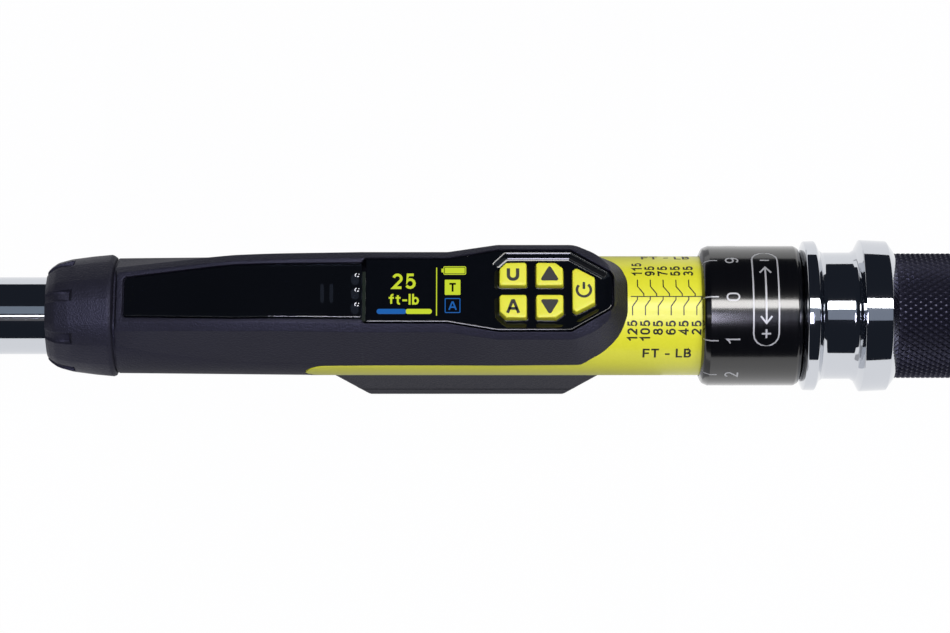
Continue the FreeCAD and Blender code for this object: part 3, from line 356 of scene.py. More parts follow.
# Sprayed yellow lacquer: even and satin, with a trace of orange peel.
yellow_lacquer, tree, shader, where = finish_of(
    "sprayed_yellow_lacquer", {"Coat Weight": 0.35, "Coat Roughness": 0.22, "Roughness": 0.42})
mottle(shader, where, 1100.0, 3.0, tint=("#dedd2a", "#e5e438"), relief=(0.10, 0.00004))
dress(yellow_lacquer, "scale_sleeve")


def stroke(line, width, closed=False):
    """A flat ribbon along a line of (u, v) points, mitred at its corners."""
    spots = [Vector(p) for p in line]
    count = len(spots)
    corners = []
    for i, here in enumerate(spots):
        before = spots[i - 1] if closed or i else None
        after = spots[(i + 1) % count] if closed or i < count - 1 else None
        ways = [(b - a).normalized() for a, b in ((before, here), (here, after)) if None not in (a, b)]
        along = sum(ways, Vector((0, 0))).normalized()
        across = Vector((-along.y, along.x))
        reach = width / 2 / max(0.4, across.dot(Vector((-ways[0].y, ways[0].x))))
        corners += [tuple(here + across * reach), tuple(here - across * reach)]
    faces = [(2 * i, 2 * i + 1, (2 * i + 3) % (2 * count), (2 * i + 2) % (2 * count))
             for i in range(count if closed else count - 1)]
    return corners, faces


def gather(shapes):
    """Joins flat shapes, each given as (shape, turn in degrees, u, v), into one."""
    corners, faces = [], []
    for (spots, sides), degrees, u, v in shapes:
        c, s = math.cos(math.radians(degrees)), math.sin(math.radians(degrees))
        base = len(corners)
        corners += [(a * c - b * s + u, a * s + b * c + v) for a, b in spots]
        faces += [tuple(base + k for k in side) for side in sides]
    return corners, faces


def arc(x, y, across, up, first, last, steps=9):
    """Points along part of an ellipse, from one angle to another in degrees."""
    turns = [math.radians(first + (last - first) * k / steps) for k in range(steps + 1)]
    return [(x + across * math.cos(t), y + up * math.sin(t)) for t in turns]


def upside(lines):
    return [[(0.6 - x, 1.0 - y) for x, y in line] for line in lines]


# plain bold characters as the middle lines of their strokes, in a box one unit high, each with its width
SIX = [arc(0.31, 0.62, 0.29, 0.38, 40, 180) + [(0.02, 0.31)], arc(0.30, 0.31, 0.28, 0.31, 180, 540, 20)]
SHAPES = {
    "0": (0.6, [arc(0.3, 0.66, 0.29, 0.34, 0, 180) + arc(0.3, 0.34, 0.29, 0.34, 180, 360) + [(0.59, 0.66)]]),
    "1": (0.46, [[(0.06, 0.76), (0.22, 0.86), (0.34, 1.0), (0.34, 0.0)]]),
    "2": (0.6, [arc(0.3, 0.71, 0.28, 0.29, 165, -28) + [(0.02, 0.0), (0.6, 0.0)]]),
    "3": (0.6, [arc(0.29, 0.76, 0.26, 0.24, 155, -80) + arc(0.29, 0.26, 0.30, 0.27, 80, -155)]),
    "4": (0.6, [[(0.6, 0.24), (0.0, 0.24), (0.44, 1.0), (0.44, 0.0)]]),
    "5": (0.6, [[(0.54, 1.0), (0.12, 1.0), (0.05, 0.47)] + arc(0.28, 0.32, 0.31, 0.32, 128, -150)]),
    "6": (0.6, SIX),
    "7": (0.6, [[(0.0, 1.0), (0.6, 1.0), (0.36, 0.55), (0.22, 0.0)]]),
    "8": (0.6, [arc(0.3, 0.77, 0.25, 0.23, -90, 270, 20), arc(0.3, 0.27, 0.3, 0.27, 90, 450, 20)]),
    "9": (0.6, upside(SIX)),
    "U": (0.8, [[(0.0, 1.0)] + arc(0.4, 0.36, 0.4, 0.36, 180, 360) + [(0.8, 1.0)]]),
    "A": (0.84, [[(0.0, 0.0), (0.36, 0.96), (0.48, 0.96), (0.84, 0.0)], [(0.16, 0.28), (0.68, 0.28)]]),
    "F": (0.54, [[(0.54, 1.0), (0.0, 1.0), (0.0, 0.0)], [(0.0, 0.5), (0.46, 0.5)]]),
    "T": (0.62, [[(0.0, 1.0), (0.62, 1.0)], [(0.31, 1.0), (0.31, 0.0)]]),
    "L": (0.5, [[(0.0, 1.0), (0.0, 0.0), (0.5, 0.0)]]),
    "B": (0.58, [[(0.0, 0.52), (0.0, 1.0), (0.3, 1.0)] + arc(0.3, 0.76, 0.24, 0.24, 90, -90),
                 [(0.0, 0.52), (0.32, 0.52)] + arc(0.32, 0.26, 0.26, 0.26, 90, -90)
                 + [(0.0, 0.0), (0.0, 0.52)]]),
    "f": (0.36, [arc(0.34, 0.82, 0.18, 0.18, 75, 180) + [(0.16, 0.0)], [(0.0, 0.66), (0.34, 0.66)]]),
    "t": (0.36, [[(0.14, 0.95)] + arc(0.32, 0.18, 0.18, 0.18, 180, 285), [(0.0, 0.66), (0.32, 0.66)]]),
    "l": (0.0, [[(0.0, 1.0), (0.0, 0.0)]]),
    "b": (0.52, [[(0.0, 1.0), (0.0, 0.0)], arc(0.26, 0.33, 0.26, 0.33, 180, 540, 18)]),
    "-": (0.3, [[(0.0, 0.38), (0.3, 0.38)]]),
    " ": (0.12, []),
}


def lettering(words, height, weight):
    """Characters in a row, centred, as flat strokes of one weight."""
    shapes, along = [], 0.0
    tall = height - weight
    for character in words:
        width, lines = SHAPES[character]
        for line in lines:
            spots = [(along + x * tall, y * tall - tall / 2) for x, y in line]
            for i, side in ((0, 1), (-1, -2)):
                way = (Vector(spots[i]) - Vector(spots[side])).normalized()
                spots[i] = tuple(Vector(spots[i]) + way * (weight / 2 if len(line) < 7 else 0))
            shapes.append((stroke(spots, weight), 0, 0, 0))
        along += width * tall + weight * 1.75
    corners, faces = gather(shapes)
    shift = (along - weight * 1.75) / 2
    return [(u - shift, v) for u, v in corners], faces


INK = 0.02                           # thickness of a printed or filled mark


def mark(name, flat, lay, material, body, slot, thick=INK, strips=0.5):
    """A thin raised mark: the flat shape is cut into strips across v, then lay(u, v, height) places it."""
    corners, faces = flat
    shaped = bmesh.new()
    spots = [shaped.verts.new((u, v, 0)) for u, v in corners]
    for side in faces:
        if len(set(side)) > 2:
            try:
                shaped.faces.new([spots[k] for k in side])
            except ValueError:
                continue
    first = min(v for _, v in corners)
    final = max(v for _, v in corners)
    for k in range(1, int((final - first) / strips) + 1) if strips else ():
        everything = shaped.verts[:] + shaped.edges[:] + shaped.faces[:]
        bmesh.ops.bisect_plane(shaped, geom=everything, plane_co=(0, first + k * strips, 0),
                               plane_no=(0, 1, 0))
    bmesh.ops.recalc_face_normals(shaped, faces=shaped.faces)
    raised = bmesh.ops.extrude_face_region(shaped, geom=shaped.faces[:])
    lifted = {v for v in raised["geom"] if isinstance(v, bmesh.types.BMVert)}
    shaped.verts.index_update()
    places = [lay(v.co.x, v.co.y, thick if v in lifted else -thick) for v in shaped.verts]
    sides = [tuple(v.index for v in f.verts) for f in shaped.faces]
    shaped.free()
    return piece(name, places, sides, material, body, slot)


def on_round(radius, x, degrees):
    """Lays (u along x, v round towards +Y) on a turned surface, about a spot given by x and its angle."""
    def lay(u, v, height):
        r = radius(x + u) if callable(radius) else radius
        a = math.radians(degrees) + v / (r if not callable(radius) else radius(x))
        return (x + u, (r + height) * math.sin(a), (r + height) * math.cos(a))
    return lay


# Black printing ink: dense, matt, with the screen's slight unevenness.
black_ink, tree, shader, where = finish_of("black_screen_ink", {"Roughness": 0.5})
mottle(shader, where, 2500.0, 2.0, tint=("#141412", "#1c1c18"))

SLEEVE_R = 17.1
PITCH = 25.4 / 14                    # one turn of the 7/16-14 screw
LEADER = 0.32                        # width of the lines that lead to the figures
FIGURE = (2.85, 0.52)                # height and weight of the figures
thimble_start, thimble_end = span("thimble")
scale = [(stroke([(-20.2, 0.0), (1.2, 0.0)], 0.28), 0, 0.0, 0.0)]
for k, number in enumerate((25, 45, 65, 85, 105, 125)):
    u = -0.15 - 2 * PITCH * k
    scale.append((stroke([(0, 0), (0, -0.9), (-1.4, -2.9), (-1.4, -5.4)], LEADER), 0, u, 0.0))
    scale.append((lettering(str(number), *FIGURE), 90, u - 1.45, -7.0 - (1.95 if number < 100 else 2.85)))
for k, number in enumerate((35, 55, 75, 95, 115)):
    u = -0.15 - PITCH * (2 * k + 1)
    scale.append((stroke([(0, 0), (0, 0.8), (-1.7, 3.1), (-1.7, 5.4)], LEADER), 0, u, 0.0))
    scale.append((lettering(str(number), *FIGURE), 90, u - 1.75, 6.9 + (1.95 if number < 100 else 2.85)))
mark("scale_print", gather(scale), on_round(SLEEVE_R, thimble_start, 0.0), black_ink, "housing",
     "yellow_aluminium")
for name, degrees in (("scale_unit_near", -57.0), ("scale_unit_far", 57.0)):
    mark(name, lettering("FT - LB", 3.2, 0.56), on_round(SLEEVE_R, thimble_start - 9.8, degrees), black_ink,
         "housing", "yellow_aluminium")


# ---- Upper housing shell ----
# One moulding of the same nylon: a barrel round the sleeve, parted below by the yellow stripe, and on it a
# platform that climbs from the collar, runs level under the display and keypad, and ends in a rounded tail.

shell_start, shell_end = span("upper_shell")
lens_low, lens_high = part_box("display_lens")
FACE = (lens_high.z - AXIS) / MM + 0.1         # level of the platform's face
CLIMB_END, LEVEL_FROM = 156.0, 183.0           # where the climb turns into an arc, and the arc ends
ARC_DROP = 2.3                                 # how far the arc lies below the face at its front
ARC_RADIUS = ((LEVEL_FROM - CLIMB_END) ** 2 + ARC_DROP ** 2) / (2 * ARC_DROP)
CLIMB = 0.172
STRIPE_NOSE = 186.0
NOSE_LONG, NOSE_HALF = 6.1, 4.2                # the stripe's rounded front end
BARREL = 17.08


def face_height(x):
    """The platform's face: a steady climb, eased over by an arc, then level."""
    if x <= CLIMB_END:
        return FACE - ARC_DROP - (CLIMB_END - x) * CLIMB
    if x >= LEVEL_FROM:
        return FACE
    return FACE - ARC_RADIUS + math.sqrt(ARC_RADIUS ** 2 - (LEVEL_FROM - x) ** 2)


def barrel_radius(x):
    return min(BARREL, 16.5 + (x - shell_start) * 0.58 / (STRIPE_NOSE + 6 - shell_start))


def stripe_height(x):
    """Half height of the yellow stripe at x: nothing ahead of its nose, then an arc, then a slow widening."""
    along = x - STRIPE_NOSE
    if along <= 0:
        return 0.0
    if along < NOSE_LONG:
        return NOSE_HALF * math.sin(math.acos(1 - along / NOSE_LONG))
    return NOSE_HALF + (along - NOSE_LONG) * 1.14 / 108.0


tail_line = eased([(262.0, 16.45, 0), (264.9, 16.4, 9.0), (270.9, 14.2, 12.0), (275.6, 10.7, 10.0),
                   (277.6, 5.4, 5.0), (277.6, 0.0, 0)], steps=8)


def height_on(line, x, otherwise):
    """The second coordinate of a line where its first is x."""
    for a, b in zip(line, line[1:]):
        if a.x <= x <= b.x and b.x > a.x:
            return a.y + (b.y - a.y) * (x - a.x) / (b.x - a.x)
    return otherwise


def tail_half(x):
    """Half width of the black footprint on the sleeve, behind the stripe's straight run."""
    return 30.0 if x <= tail_line[0].x else height_on(tail_line, x, 5.0)


def ended(rows):
    """The barrel's rows with its ends: a register that enters the collar, and a rim turned in at the tail."""
    register = [(x - 3.0, y * 0.965, z * 0.965) for x, y, z in rows[0]]
    step = [(x + 3.0, y, z) for x, y, z in register]
    return [register, step] + rows + [[(x, y * 0.94, z * 0.94) for x, y, z in rows[-1]]]


rows = []
stops = [shell_start + k * 2.7 for k in range(20)]
stops += [STRIPE_NOSE + d for d in (0.0, 0.08, 0.3, 0.7, 1.3, 2.1, 3.2, 4.5, 6.1)]
stops += [198.0 + 8.0 * k for k in range(9)]
stops += [264.5 + 1.2 * k for k in range(8)] + [273.5, 274.3, 275.1, 275.8, 276.4, 276.9, 277.3, shell_end]
ACROSS = 48
for x in stops:
    r = barrel_radius(x)
    lowest = math.acos(min(1.0, stripe_height(x) / r))
    narrow = tail_half(x)
    if narrow < r:
        lowest = min(lowest, math.asin(narrow / r))
    soften = 0.12 / r
    spread = [-lowest, -lowest, -lowest + soften]
    spread += [(-1 + 2 * k / ACROSS) * (lowest - soften * 2) for k in range(ACROSS + 1)]
    spread += [lowest - soften, lowest, lowest]
    depth = [1.2, 0.12, 0.02] + [0.0] * (ACROSS + 1) + [0.02, 0.12, 1.2]
    if stripe_height(x) == 0.0 and narrow > r:
        depth = [0.0] * len(depth)
    ring = [(x, (r - d) * math.sin(a), (r - d) * math.cos(a)) for a, d in zip(spread, depth)]
    rows.append([(x, y, min(z, face_height(x) - 1.6) if abs(y) < 9.0 else z) for x, y, z in ring])
piece("shell_barrel_upper", *loft(ended(rows), closed=False), grained_nylon, "housing", "black_nylon",
      ["upper_shell"])
rows = []
for x in [s for s in stops if s < STRIPE_NOSE + 1.25] + [STRIPE_NOSE + 1.3]:
    r = barrel_radius(x)
    lowest = math.acos(min(1.0, stripe_height(x) / r))
    spread = [math.pi + (-1 + 2 * k / ACROSS) * lowest for k in range(ACROSS + 1)]
    rows.append(circle(x, r, spread))
piece("shell_barrel_lower", *loft(ended(rows), closed=False), grained_nylon, "housing", "black_nylon")

# at each corner: the opening's edge, the face's edge, the crease, and the foot on the barrel
PLATFORM = (
    ((134.7, 6.05, 1.2), (133.0, 7.4, 1.0), (132.5, 9.5, 0.5), (132.5, 13.3, 0.5)),
    ((166.0, 8.12, 60), (166.0, 9.1, 60), (166.0, 11.35, 60), (166.0, 16.0, 60)),
    ((202.45, 8.42, 0.3), (202.45, 9.75, 0.3), (202.45, 11.95, 0.3), (202.45, 16.45, 0.3)),
    ((203.35, 9.66, 0.3), (203.35, 9.8, 0.3), (203.35, 11.95, 0.3), (203.35, 16.45, 0.3)),
    ((226.8, 9.68, 9), (226.8, 9.9, 9), (226.8, 11.95, 9), (226.8, 16.5, 9)),
    ((240.7, 12.12, 9), (240.8, 12.32, 9), (240.7, 14.1, 9), (240.7, 16.6, 9)),
    ((261.7, 12.12, 1.6), (261.8, 12.32, 1.8), (262.6, 14.1, 8), (264.9, 16.45, 9)),
    ((267.0, 9.02, 9), (267.2, 9.25, 9), (268.5, 11.5, 12), (270.9, 14.2, 12)),
    ((272.55, 5.75, 1.0), (272.65, 5.95, 1.2), (273.0, 7.4, 8), (275.6, 10.7, 10)),
    ((273.45, 4.4, 0.8), (273.6, 4.4, 1.0), (274.5, 3.2, 4), (277.6, 5.4, 5)),
)


def mirrored(half):
    """Both halves of an outline's corners, from the +Y half."""
    return list(half) + [(x, -y, r) for x, y, r in reversed(half)]


def ring_of(column):
    """One closed loop of the platform in plan: a column of the table, cut as finely as the crease."""
    crease, line = (eased(mirrored([row[k] for row in PLATFORM]), closed=True, steps=6) for k in (2, column))
    fine = []
    for i, a in enumerate(line):
        follows = (i + 1) % len(line)
        cuts = max(1, min(16, round((crease[follows] - crease[i]).length / 2.5)))
        fine += [a.lerp(line[follows], k / cuts) for k in range(cuts)]
    return fine


opening, rim, crease, foot = (ring_of(k) for k in range(4))


def foot_height(spot):
    """Where the platform's flank runs out, tangent to the barrel but above the stripe."""
    r = barrel_radius(spot.x) - 0.03
    height = max(math.sqrt(max(0.0, r * r - spot.y * spot.y)), stripe_height(spot.x) + 0.1)
    return min(height, face_height(spot.x) - 1.7)


uprights = []
for o, f, c, b in zip(opening, rim, crease, foot):
    uprights.append(eased([
        (b.x, b.y, foot_height(b), 0), (c.x, c.y, face_height(c.x) - 1.4, 0.45),
        (f.x, f.y, face_height(f.x), 0.3), (o.x, o.y, face_height(o.x), 0.2),
        (o.x, o.y, face_height(o.x) - 1.3, 0)], steps=4))
piece("shell_platform", *loft(list(zip(*uprights))), grained_nylon, "housing", "black_nylon", sharp=40)


# ---- Long window, lamps and light posts ----
# A strip of smoked polycarbonate, bonded in flush. Three signal lamps and two light posts stand behind it.

# Smoked polycarbonate: a dark glossy sheet that lets only strong light through.
smoked, tree, shader, where = finish_of(
    "smoked_polycarbonate", {"Roughness": 0.03, "IOR": 1.585, "Transmission Weight": 0.85})
mottle(shader, where, 40.0, 1.0, tint=("#20242c", "#262a33"), rounding=0.0002)
dress(smoked, "led_window")

# Clear epoxy round a lamp: pale, glossy, slightly cloudy, and given a pale self-glow as painted light, so that
# the lamps and the light posts show through the smoked window.
glowing_epoxy, tree, shader, where = finish_of(
    "painted_glow_epoxy", {"Roughness": 0.12, "Emission Strength": 0.9})
cloudy = add(tree, "TexNoise", {"Scale": 1200.0, "Detail": 2.0}, [("Vector", where, "Object")])
tint = add(tree, "Mix", {"data_type": "RGBA", 6: linear("#d8dade"), 7: linear("#eef0f2")},
           [("Factor", cloudy, "Fac")])
link(tree, tint, 2, shader, "Base Color")
link(tree, tint, 2, shader, "Emission Color")
dress(glowing_epoxy, "indicator_leds", "light_pipes")

# Painted glints over each lamp: tiny pale self-lit strokes in the black, painted reflections of the lamps'
# lenses seen through the window.
glint_paint, tree, shader, where = finish_of(
    "painted_lamp_glints", {"Roughness": 0.3, "Emission Strength": 0.75})
sparkle = add(tree, "TexNoise", {"Scale": 6000.0, "Detail": 1.0}, [("Vector", where, "Object")])
tint = add(tree, "Mix", {"data_type": "RGBA", 6: linear("#c8ccd6"), 7: linear("#ffffff")},
           [("Factor", sparkle, "Fac")])
link(tree, tint, 2, shader, "Base Color")
link(tree, tint, 2, shader, "Emission Color")
GLASS = FACE - 0.1                   # level of the glossy faces, a little below the platform's


def on_face(x, y, level):
    """Lays (u along x, v along y) flat at a level, about a spot."""
    return lambda u, v, height: (x + u, y + v, level + height)


# Each lamp gets a painted glint: a small arc and two dashes that light themselves, in place of the reflection
# off its lens.
for k, y in enumerate((4.35, 0.0, -4.35)):
    facets = gather([(stroke(arc(0, 0, 0.55, 0.5, 100, 230), 0.16), 0, 0, 0),
                     (stroke([(0.1, -0.45), (0.5, -0.3)], 0.2), 0, 0, 0),
                     (stroke([(0.45, 0.25), (0.6, 0.4)], 0.2), 0, 0, 0)])
    mark(f"painted_glint_{k}", facets, on_face(201.3, y + 0.2, GLASS), glint_paint, "housing", "lamp_plastic",
         strips=0)


# ---- Circuit board and what it carries ----
# Glass-epoxy board with green solder mask under the window, its chips, the buzzer and the key domes.

# Solder mask: glossy green over copper, mottled by the weave below.
solder_mask, tree, shader, where = finish_of("solder_mask", {"Roughness": 0.3})
weave = add(tree, "TexBrick", {"Scale": 900.0}, [("Vector", where, "Object")])
tint = add(tree, "Mix", {"data_type": "RGBA", 6: linear("#0a1f14"), 7: linear("#0d2b1a")},
           [("Factor", weave, "Fac")])
link(tree, tint, 2, shader, "Base Color")
dress(solder_mask, "main_board")

# Moulded epoxy of chips and buzzer: matt black, finely pitted.
chip_epoxy, tree, shader, where = finish_of("moulded_chip_epoxy", {"Roughness": 0.6})
mottle(shader, where, 4000.0, 2.0, tint=("#121212", "#1c1c1c"))
dress(chip_epoxy, "board_chips", "buzzer", "display_module")


# ---- Display and keypad panel ----
# One gloss acrylic moulding, black behind. The keypad lies in a recess with broad sloping sides, and the
# colour display shows through beside it.

# Gloss acrylic over black: a deep, mirror-smooth black.
panel_acrylic, tree, shader, where = finish_of(
    "gloss_black_acrylic", {"IOR": 1.49, "Coat Weight": 0.3, "Coat Roughness": 0.02})
mottle(shader, where, 500.0, 2.0, tint=("#06080c", "#090b10"), haze=(0.03, 0.06))
edge = add(tree, "Bevel", {"samples": 6, "Radius": 0.00035})
link(tree, edge, "Normal", shader, "Normal")


def plan_line(half):
    """A closed outline in plan from one half's corners, mirrored."""
    return eased(mirrored(half), closed=True, steps=5)


def inset_line(half, by):
    """One half's corners moved inwards by a distance, towards the outline's own middle line."""
    both = [Vector((x, y)) for x, y, _ in mirrored(half)]
    moved = []
    for i in range(len(half)):
        here = both[i]
        back = (here - both[i - 1]).normalized()
        on = (both[(i + 1) % len(both)] - here).normalized()
        inward = Vector((-back.y, back.x)) + Vector((-on.y, on.x))
        if inward.dot(Vector((254.0, 0.0)) - here) < 0:
            inward = -inward
        inward.normalize()
        slant = abs(inward.dot(Vector((-on.y, on.x))))
        moved.append((*(here + inward * by / max(0.3, slant)), max(0.2, half[i][2] - by * 0.3)))
    return moved


def plate(outline, holes, level):
    """A flat face at a level between an outline and its holes, as triangles."""
    shaped = bmesh.new()
    for line in [outline] + holes:
        spots = [shaped.verts.new((p[0], p[1], level)) for p in line]
        for i, spot in enumerate(spots):
            shaped.edges.new((spot, spots[(i + 1) % len(spots)]))
    bmesh.ops.triangle_fill(shaped, edges=shaped.edges[:], use_beauty=True, normal=(0, 0, 1))
    shaped.verts.index_update()
    points = [tuple(v.co) for v in shaped.verts]
    faces = [tuple(v.index for v in f.verts) for f in shaped.faces]
    shaped.free()
    return points, faces


def joined(*parts):
    points, faces = [], []
    for spots, sides in parts:
        base = len(points)
        points += spots
        faces += [tuple(base + k for k in side) for side in sides]
    return points, faces


PANEL = ((203.75, 9.3, 0.3), (226.8, 9.33, 9), (240.7, 11.77, 9), (261.5, 11.77, 1.4), (272.25, 5.5, 1.0),
         (273.05, 4.3, 0.8))
RECESS = ((239.2, 7.9, 1.2), (242.8, 11.35, 1.2), (261.4, 11.35, 1.6), (271.9, 5.3, 1.2), (272.6, 4.2, 1.0))
KEYS = {                             # each key's corners in plan
    "unit": ((241.2, 6.4), (243.1, 8.35), (249.2, 8.35), (249.2, 1.2), (241.2, 1.2)),
    "angle": ((241.2, -1.2), (249.2, -1.2), (249.2, -8.35), (243.1, -8.35), (241.2, -6.4)),
    "up": ((251.5, 8.35), (257.2, 8.35), (259.5, 6.6), (259.5, 1.2), (251.5, 1.2)),
    "down": ((251.5, -1.2), (259.5, -1.2), (259.5, -6.6), (257.2, -8.35), (251.5, -8.35)),
    "power": ((261.8, 5.9), (262.9, 6.8), (268.4, 3.9), (268.4, -3.9), (262.9, -6.8), (261.8, -5.9)),
}
RECESS_FLOOR = FACE - 1.1
panel_line = plan_line(PANEL)
top_line = plan_line(inset_line(PANEL, 0.3))
skirt = [[(p.x, p.y, FACE - 1.6) for p in panel_line]]
for a in (math.pi / 8 * k for k in range(5)):
    edge_line = [p.lerp(q, 1 - math.cos(a)) for p, q in zip(panel_line, top_line)]
    skirt.append([(p.x, p.y, FACE - 0.4 + 0.3 * math.sin(a)) for p in edge_line])
lips = [plan_line(inset_line(RECESS, d)) for d in (0.0, 0.22, 0.45, 1.35, 1.75, 2.15)]
levels = (GLASS, FACE - 0.13, FACE - 0.24, RECESS_FLOOR + 0.22, RECESS_FLOOR + 0.06, RECESS_FLOOR)
bowl = [[(p.x, p.y, z) for p in line] for line, z in zip(lips, levels)]
wells = []
for corners in KEYS.values():
    middle = sum((Vector(c) for c in corners), Vector((0, 0))) / len(corners)
    outline = eased([(x, y, 0.8) for x, y in corners], closed=True, steps=4)
    wells.append([c + (c - middle).normalized() * 0.25 for c in outline])
walls = [loft([[(p.x, p.y, RECESS_FLOOR - deep) for p in well] for deep in (0.0, 0.9)]) for well in wells]
piece("display_panel", *joined(loft(skirt), plate(top_line, [lips[0]], GLASS), loft(bowl),
                               plate(lips[-1], wells, RECESS_FLOOR), *walls),
      panel_acrylic, "housing", "panel_plastic", ["display_lens"], sharp=28)


def lit(name, code, strength):
    """A lit area of the display: coloured light behind the gloss panel, with the dots' faint grid."""
    material, tree, shader, where = finish_of(
        name, {"Roughness": 0.08, "Base Color": linear("#050505"), "Emission Strength": strength})
    dots = add(tree, "TexVoronoi", {"Scale": 8000.0}, [("Vector", where, "Object")])
    fade = add(tree, "MapRange", {"From Max": 0.6, "To Min": 1.0, "To Max": 0.88},
               [("Value", dots, "Distance")])
    glow = add(tree, "Mix", {"data_type": "RGBA", 6: (0, 0, 0, 1), 7: linear(code)},
               [("Factor", fade, "Result")])
    link(tree, glow, 2, shader, "Emission Color")
    return material


# Lit dots of the display: clear even colour, unshaded by the room's light.
lit_green = lit("lit_display_green", "#cfe135", 1.0)
lit_blue = lit("lit_display_blue", "#2064b4", 1.0)
unlit = lit("unlit_display_black", "#050608", 0.2)
def rounded(corners, radius):
    """A closed flat line through corners, each turned into an arc of the same radius."""
    return [tuple(p) for p in eased([(*p, radius) for p in corners], closed=True, steps=4)]


def oblong(length, height, corner):
    a, b = length / 2, height / 2
    return rounded([(-a, -b), (a, -b), (a, b), (-a, b)], corner)


def filled(line):
    return line, [tuple(range(len(line)))]


def bar(length, height, corner):
    """A flat rounded bar, centred."""
    return filled(oblong(length, height, corner))


def frame_of(length, height, corner, width):
    """A rounded frame, centred, drawn as a stroke."""
    return stroke(oblong(length - width, height - width, corner), width, closed=True)


for name, flat, x, y, finish in (
    ("value", lettering("25", 4.6, 0.78), 214.5, 2.75, lit_green),
    ("unit", lettering("ft-lb", 3.2, 0.55), 214.5, -2.6, lit_green),
    ("bar_blue", bar(8.3, 1.5, 0.7), 211.05, -6.2, lit_blue),
    ("bar_green", bar(7.4, 1.5, 0.7), 218.7, -6.2, lit_green),
    ("divider", bar(0.28, 14.3, 0.1), 223.7, -0.3, lit_green),
    ("battery_case", frame_of(6.4, 2.5, 0.3, 0.22), 228.8, 5.95, lit_green),
    ("battery_charge", bar(5.6, 1.7, 0.15), 228.8, 5.95, lit_green),
    ("battery_nub", bar(0.5, 1.1, 0.1), 225.3, 5.95, lit_green),
    ("torque_box", bar(4.4, 4.5, 0.2), 228.2, 0.95, lit_green),
    ("torque_letter", lettering("T", 2.6, 0.55), 228.2, 0.95, unlit),
    ("angle_box", frame_of(4.4, 4.4, 0.2, 0.25), 228.2, -4.45, lit_blue),
    ("angle_letter", lettering("A", 2.6, 0.42), 228.2, -4.45, lit_blue)):
    mark("display_" + name, flat, on_face(x, y, GLASS), finish, "housing", "display",
         0.03 if finish is unlit else INK, strips=0)


# ---- Keys ----
# Five silicone caps that stand in the panel's recess, each on its own pad of the mat, with black printed
# marks: unit, angle, up, down, and power.

# Moulded silicone: bright yellow, satin, a little translucent at its edges.
key_silicone, tree, shader, where = finish_of(
    "moulded_yellow_silicone",
    {"Roughness": 0.38, "IOR": 1.43, "Subsurface Weight": 0.08, "Subsurface Scale": 0.0006})
mottle(shader, where, 1600.0, 2.0, tint=("#dcdb34", "#e2e142"), relief=(0.08, 0.00003))


def triangle(way):
    """A rounded triangle that points up or down."""
    return filled(rounded([(-2.8, -2.0 * way), (2.8, -2.0 * way), (0.0, 2.7 * way)], 0.5))


def power_sign():
    """A ring with a gap at its top, and a bar in the gap."""
    ring = [(1.95 * math.sin(math.radians(a)), 1.95 * math.cos(math.radians(a))) for a in range(38, 323, 12)]
    return gather([(stroke(ring, 0.75), 0, 0, 0), (bar(0.75, 2.1, 0.2), 0, 0, 1.3)])


SIGNS = {"unit": lettering("U", 4.2, 0.95), "angle": lettering("A", 4.2, 0.85), "up": triangle(1),
         "down": triangle(-1), "power": power_sign()}
for key, corners in KEYS.items():
    button, body = key + "_button", key + "_key"
    key_top = (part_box(button)[1].z - AXIS) / MM
    middle = sum((Vector(c) for c in corners), Vector((0, 0))) / len(corners)
    outline = eased([(x, y, 0.75) for x, y in corners], closed=True, steps=5)
    uprights = []
    for p in outline:
        inward = (middle - p).normalized()
        top = p + inward * 0.28
        crown = p + inward * 1.6
        uprights.append(eased([(p.x, p.y, key_top - 3.0, 0), (top.x, top.y, key_top - 0.08, 0.42),
                               (crown.x, crown.y, key_top, 0)], steps=5))
    piece(button + "_cap", *loft(list(zip(*uprights)), True, True), key_silicone, body, "yellow_rubber",
          [button], sharp=50)
    x, y = ((min(line) + max(line)) / 2 for line in zip(*corners))
    mark(button + "_sign", SIGNS[key], on_face(x, y, key_top), black_ink, body, "yellow_rubber", strips=0)


# ---- Battery case, cells and door ----
# A nylon saddle screwed under the sleeve holds two AAA cells side by side. Its door is a tray with a thin
# gasket, held by two screws.

# The case's nylon comes from the same mould grain as the shell.
dress(grained_nylon, "battery_case", "battery_door")

# Painted shade for the door's joint: a dead black, matt band standing a hair proud round the case, in place of
# the shade in the seam's groove.
seam_shade_rubber, tree, shader, where = finish_of(
    "painted_seam_shade", {"Roughness": 0.95, "Specular IOR Level": 0.1})
mottle(shader, where, 900.0, 2.0, tint=("#050506", "#09090b"))
CASE_TOP, CASE_DROP = -8.6, 19.7     # level of the case's top, and its height down to the foot
SEAM_SHADE_TOP, SEAM_SHADE_FOOT = -22.22, -22.5  # the dark band's levels
# seal holds the loops of this painted-shade band round the door's joint.
seal = []
for grow, z in ((-0.6, SEAM_SHADE_TOP), (0.04, SEAM_SHADE_TOP), (0.04, SEAM_SHADE_FOOT), (-0.6, SEAM_SHADE_FOOT)):
    down = (CASE_TOP - z) / CASE_DROP
    x0, x1 = 192.7 + 9.3 * down - grow, 271.4 - 9.3 * down + grow
    y = 15.5 - 0.5 * down + grow
    outline = eased([(x0, -y, 2.8), (x1, -y, 2.8), (x1, y, 2.8), (x0, y, 2.8)], closed=True, steps=6)
    seal.append([(p.x, p.y, z) for p in outline])
piece("battery_door_seam_shade", *loft(seal), seam_shade_rubber, "door", "mat_rubber")

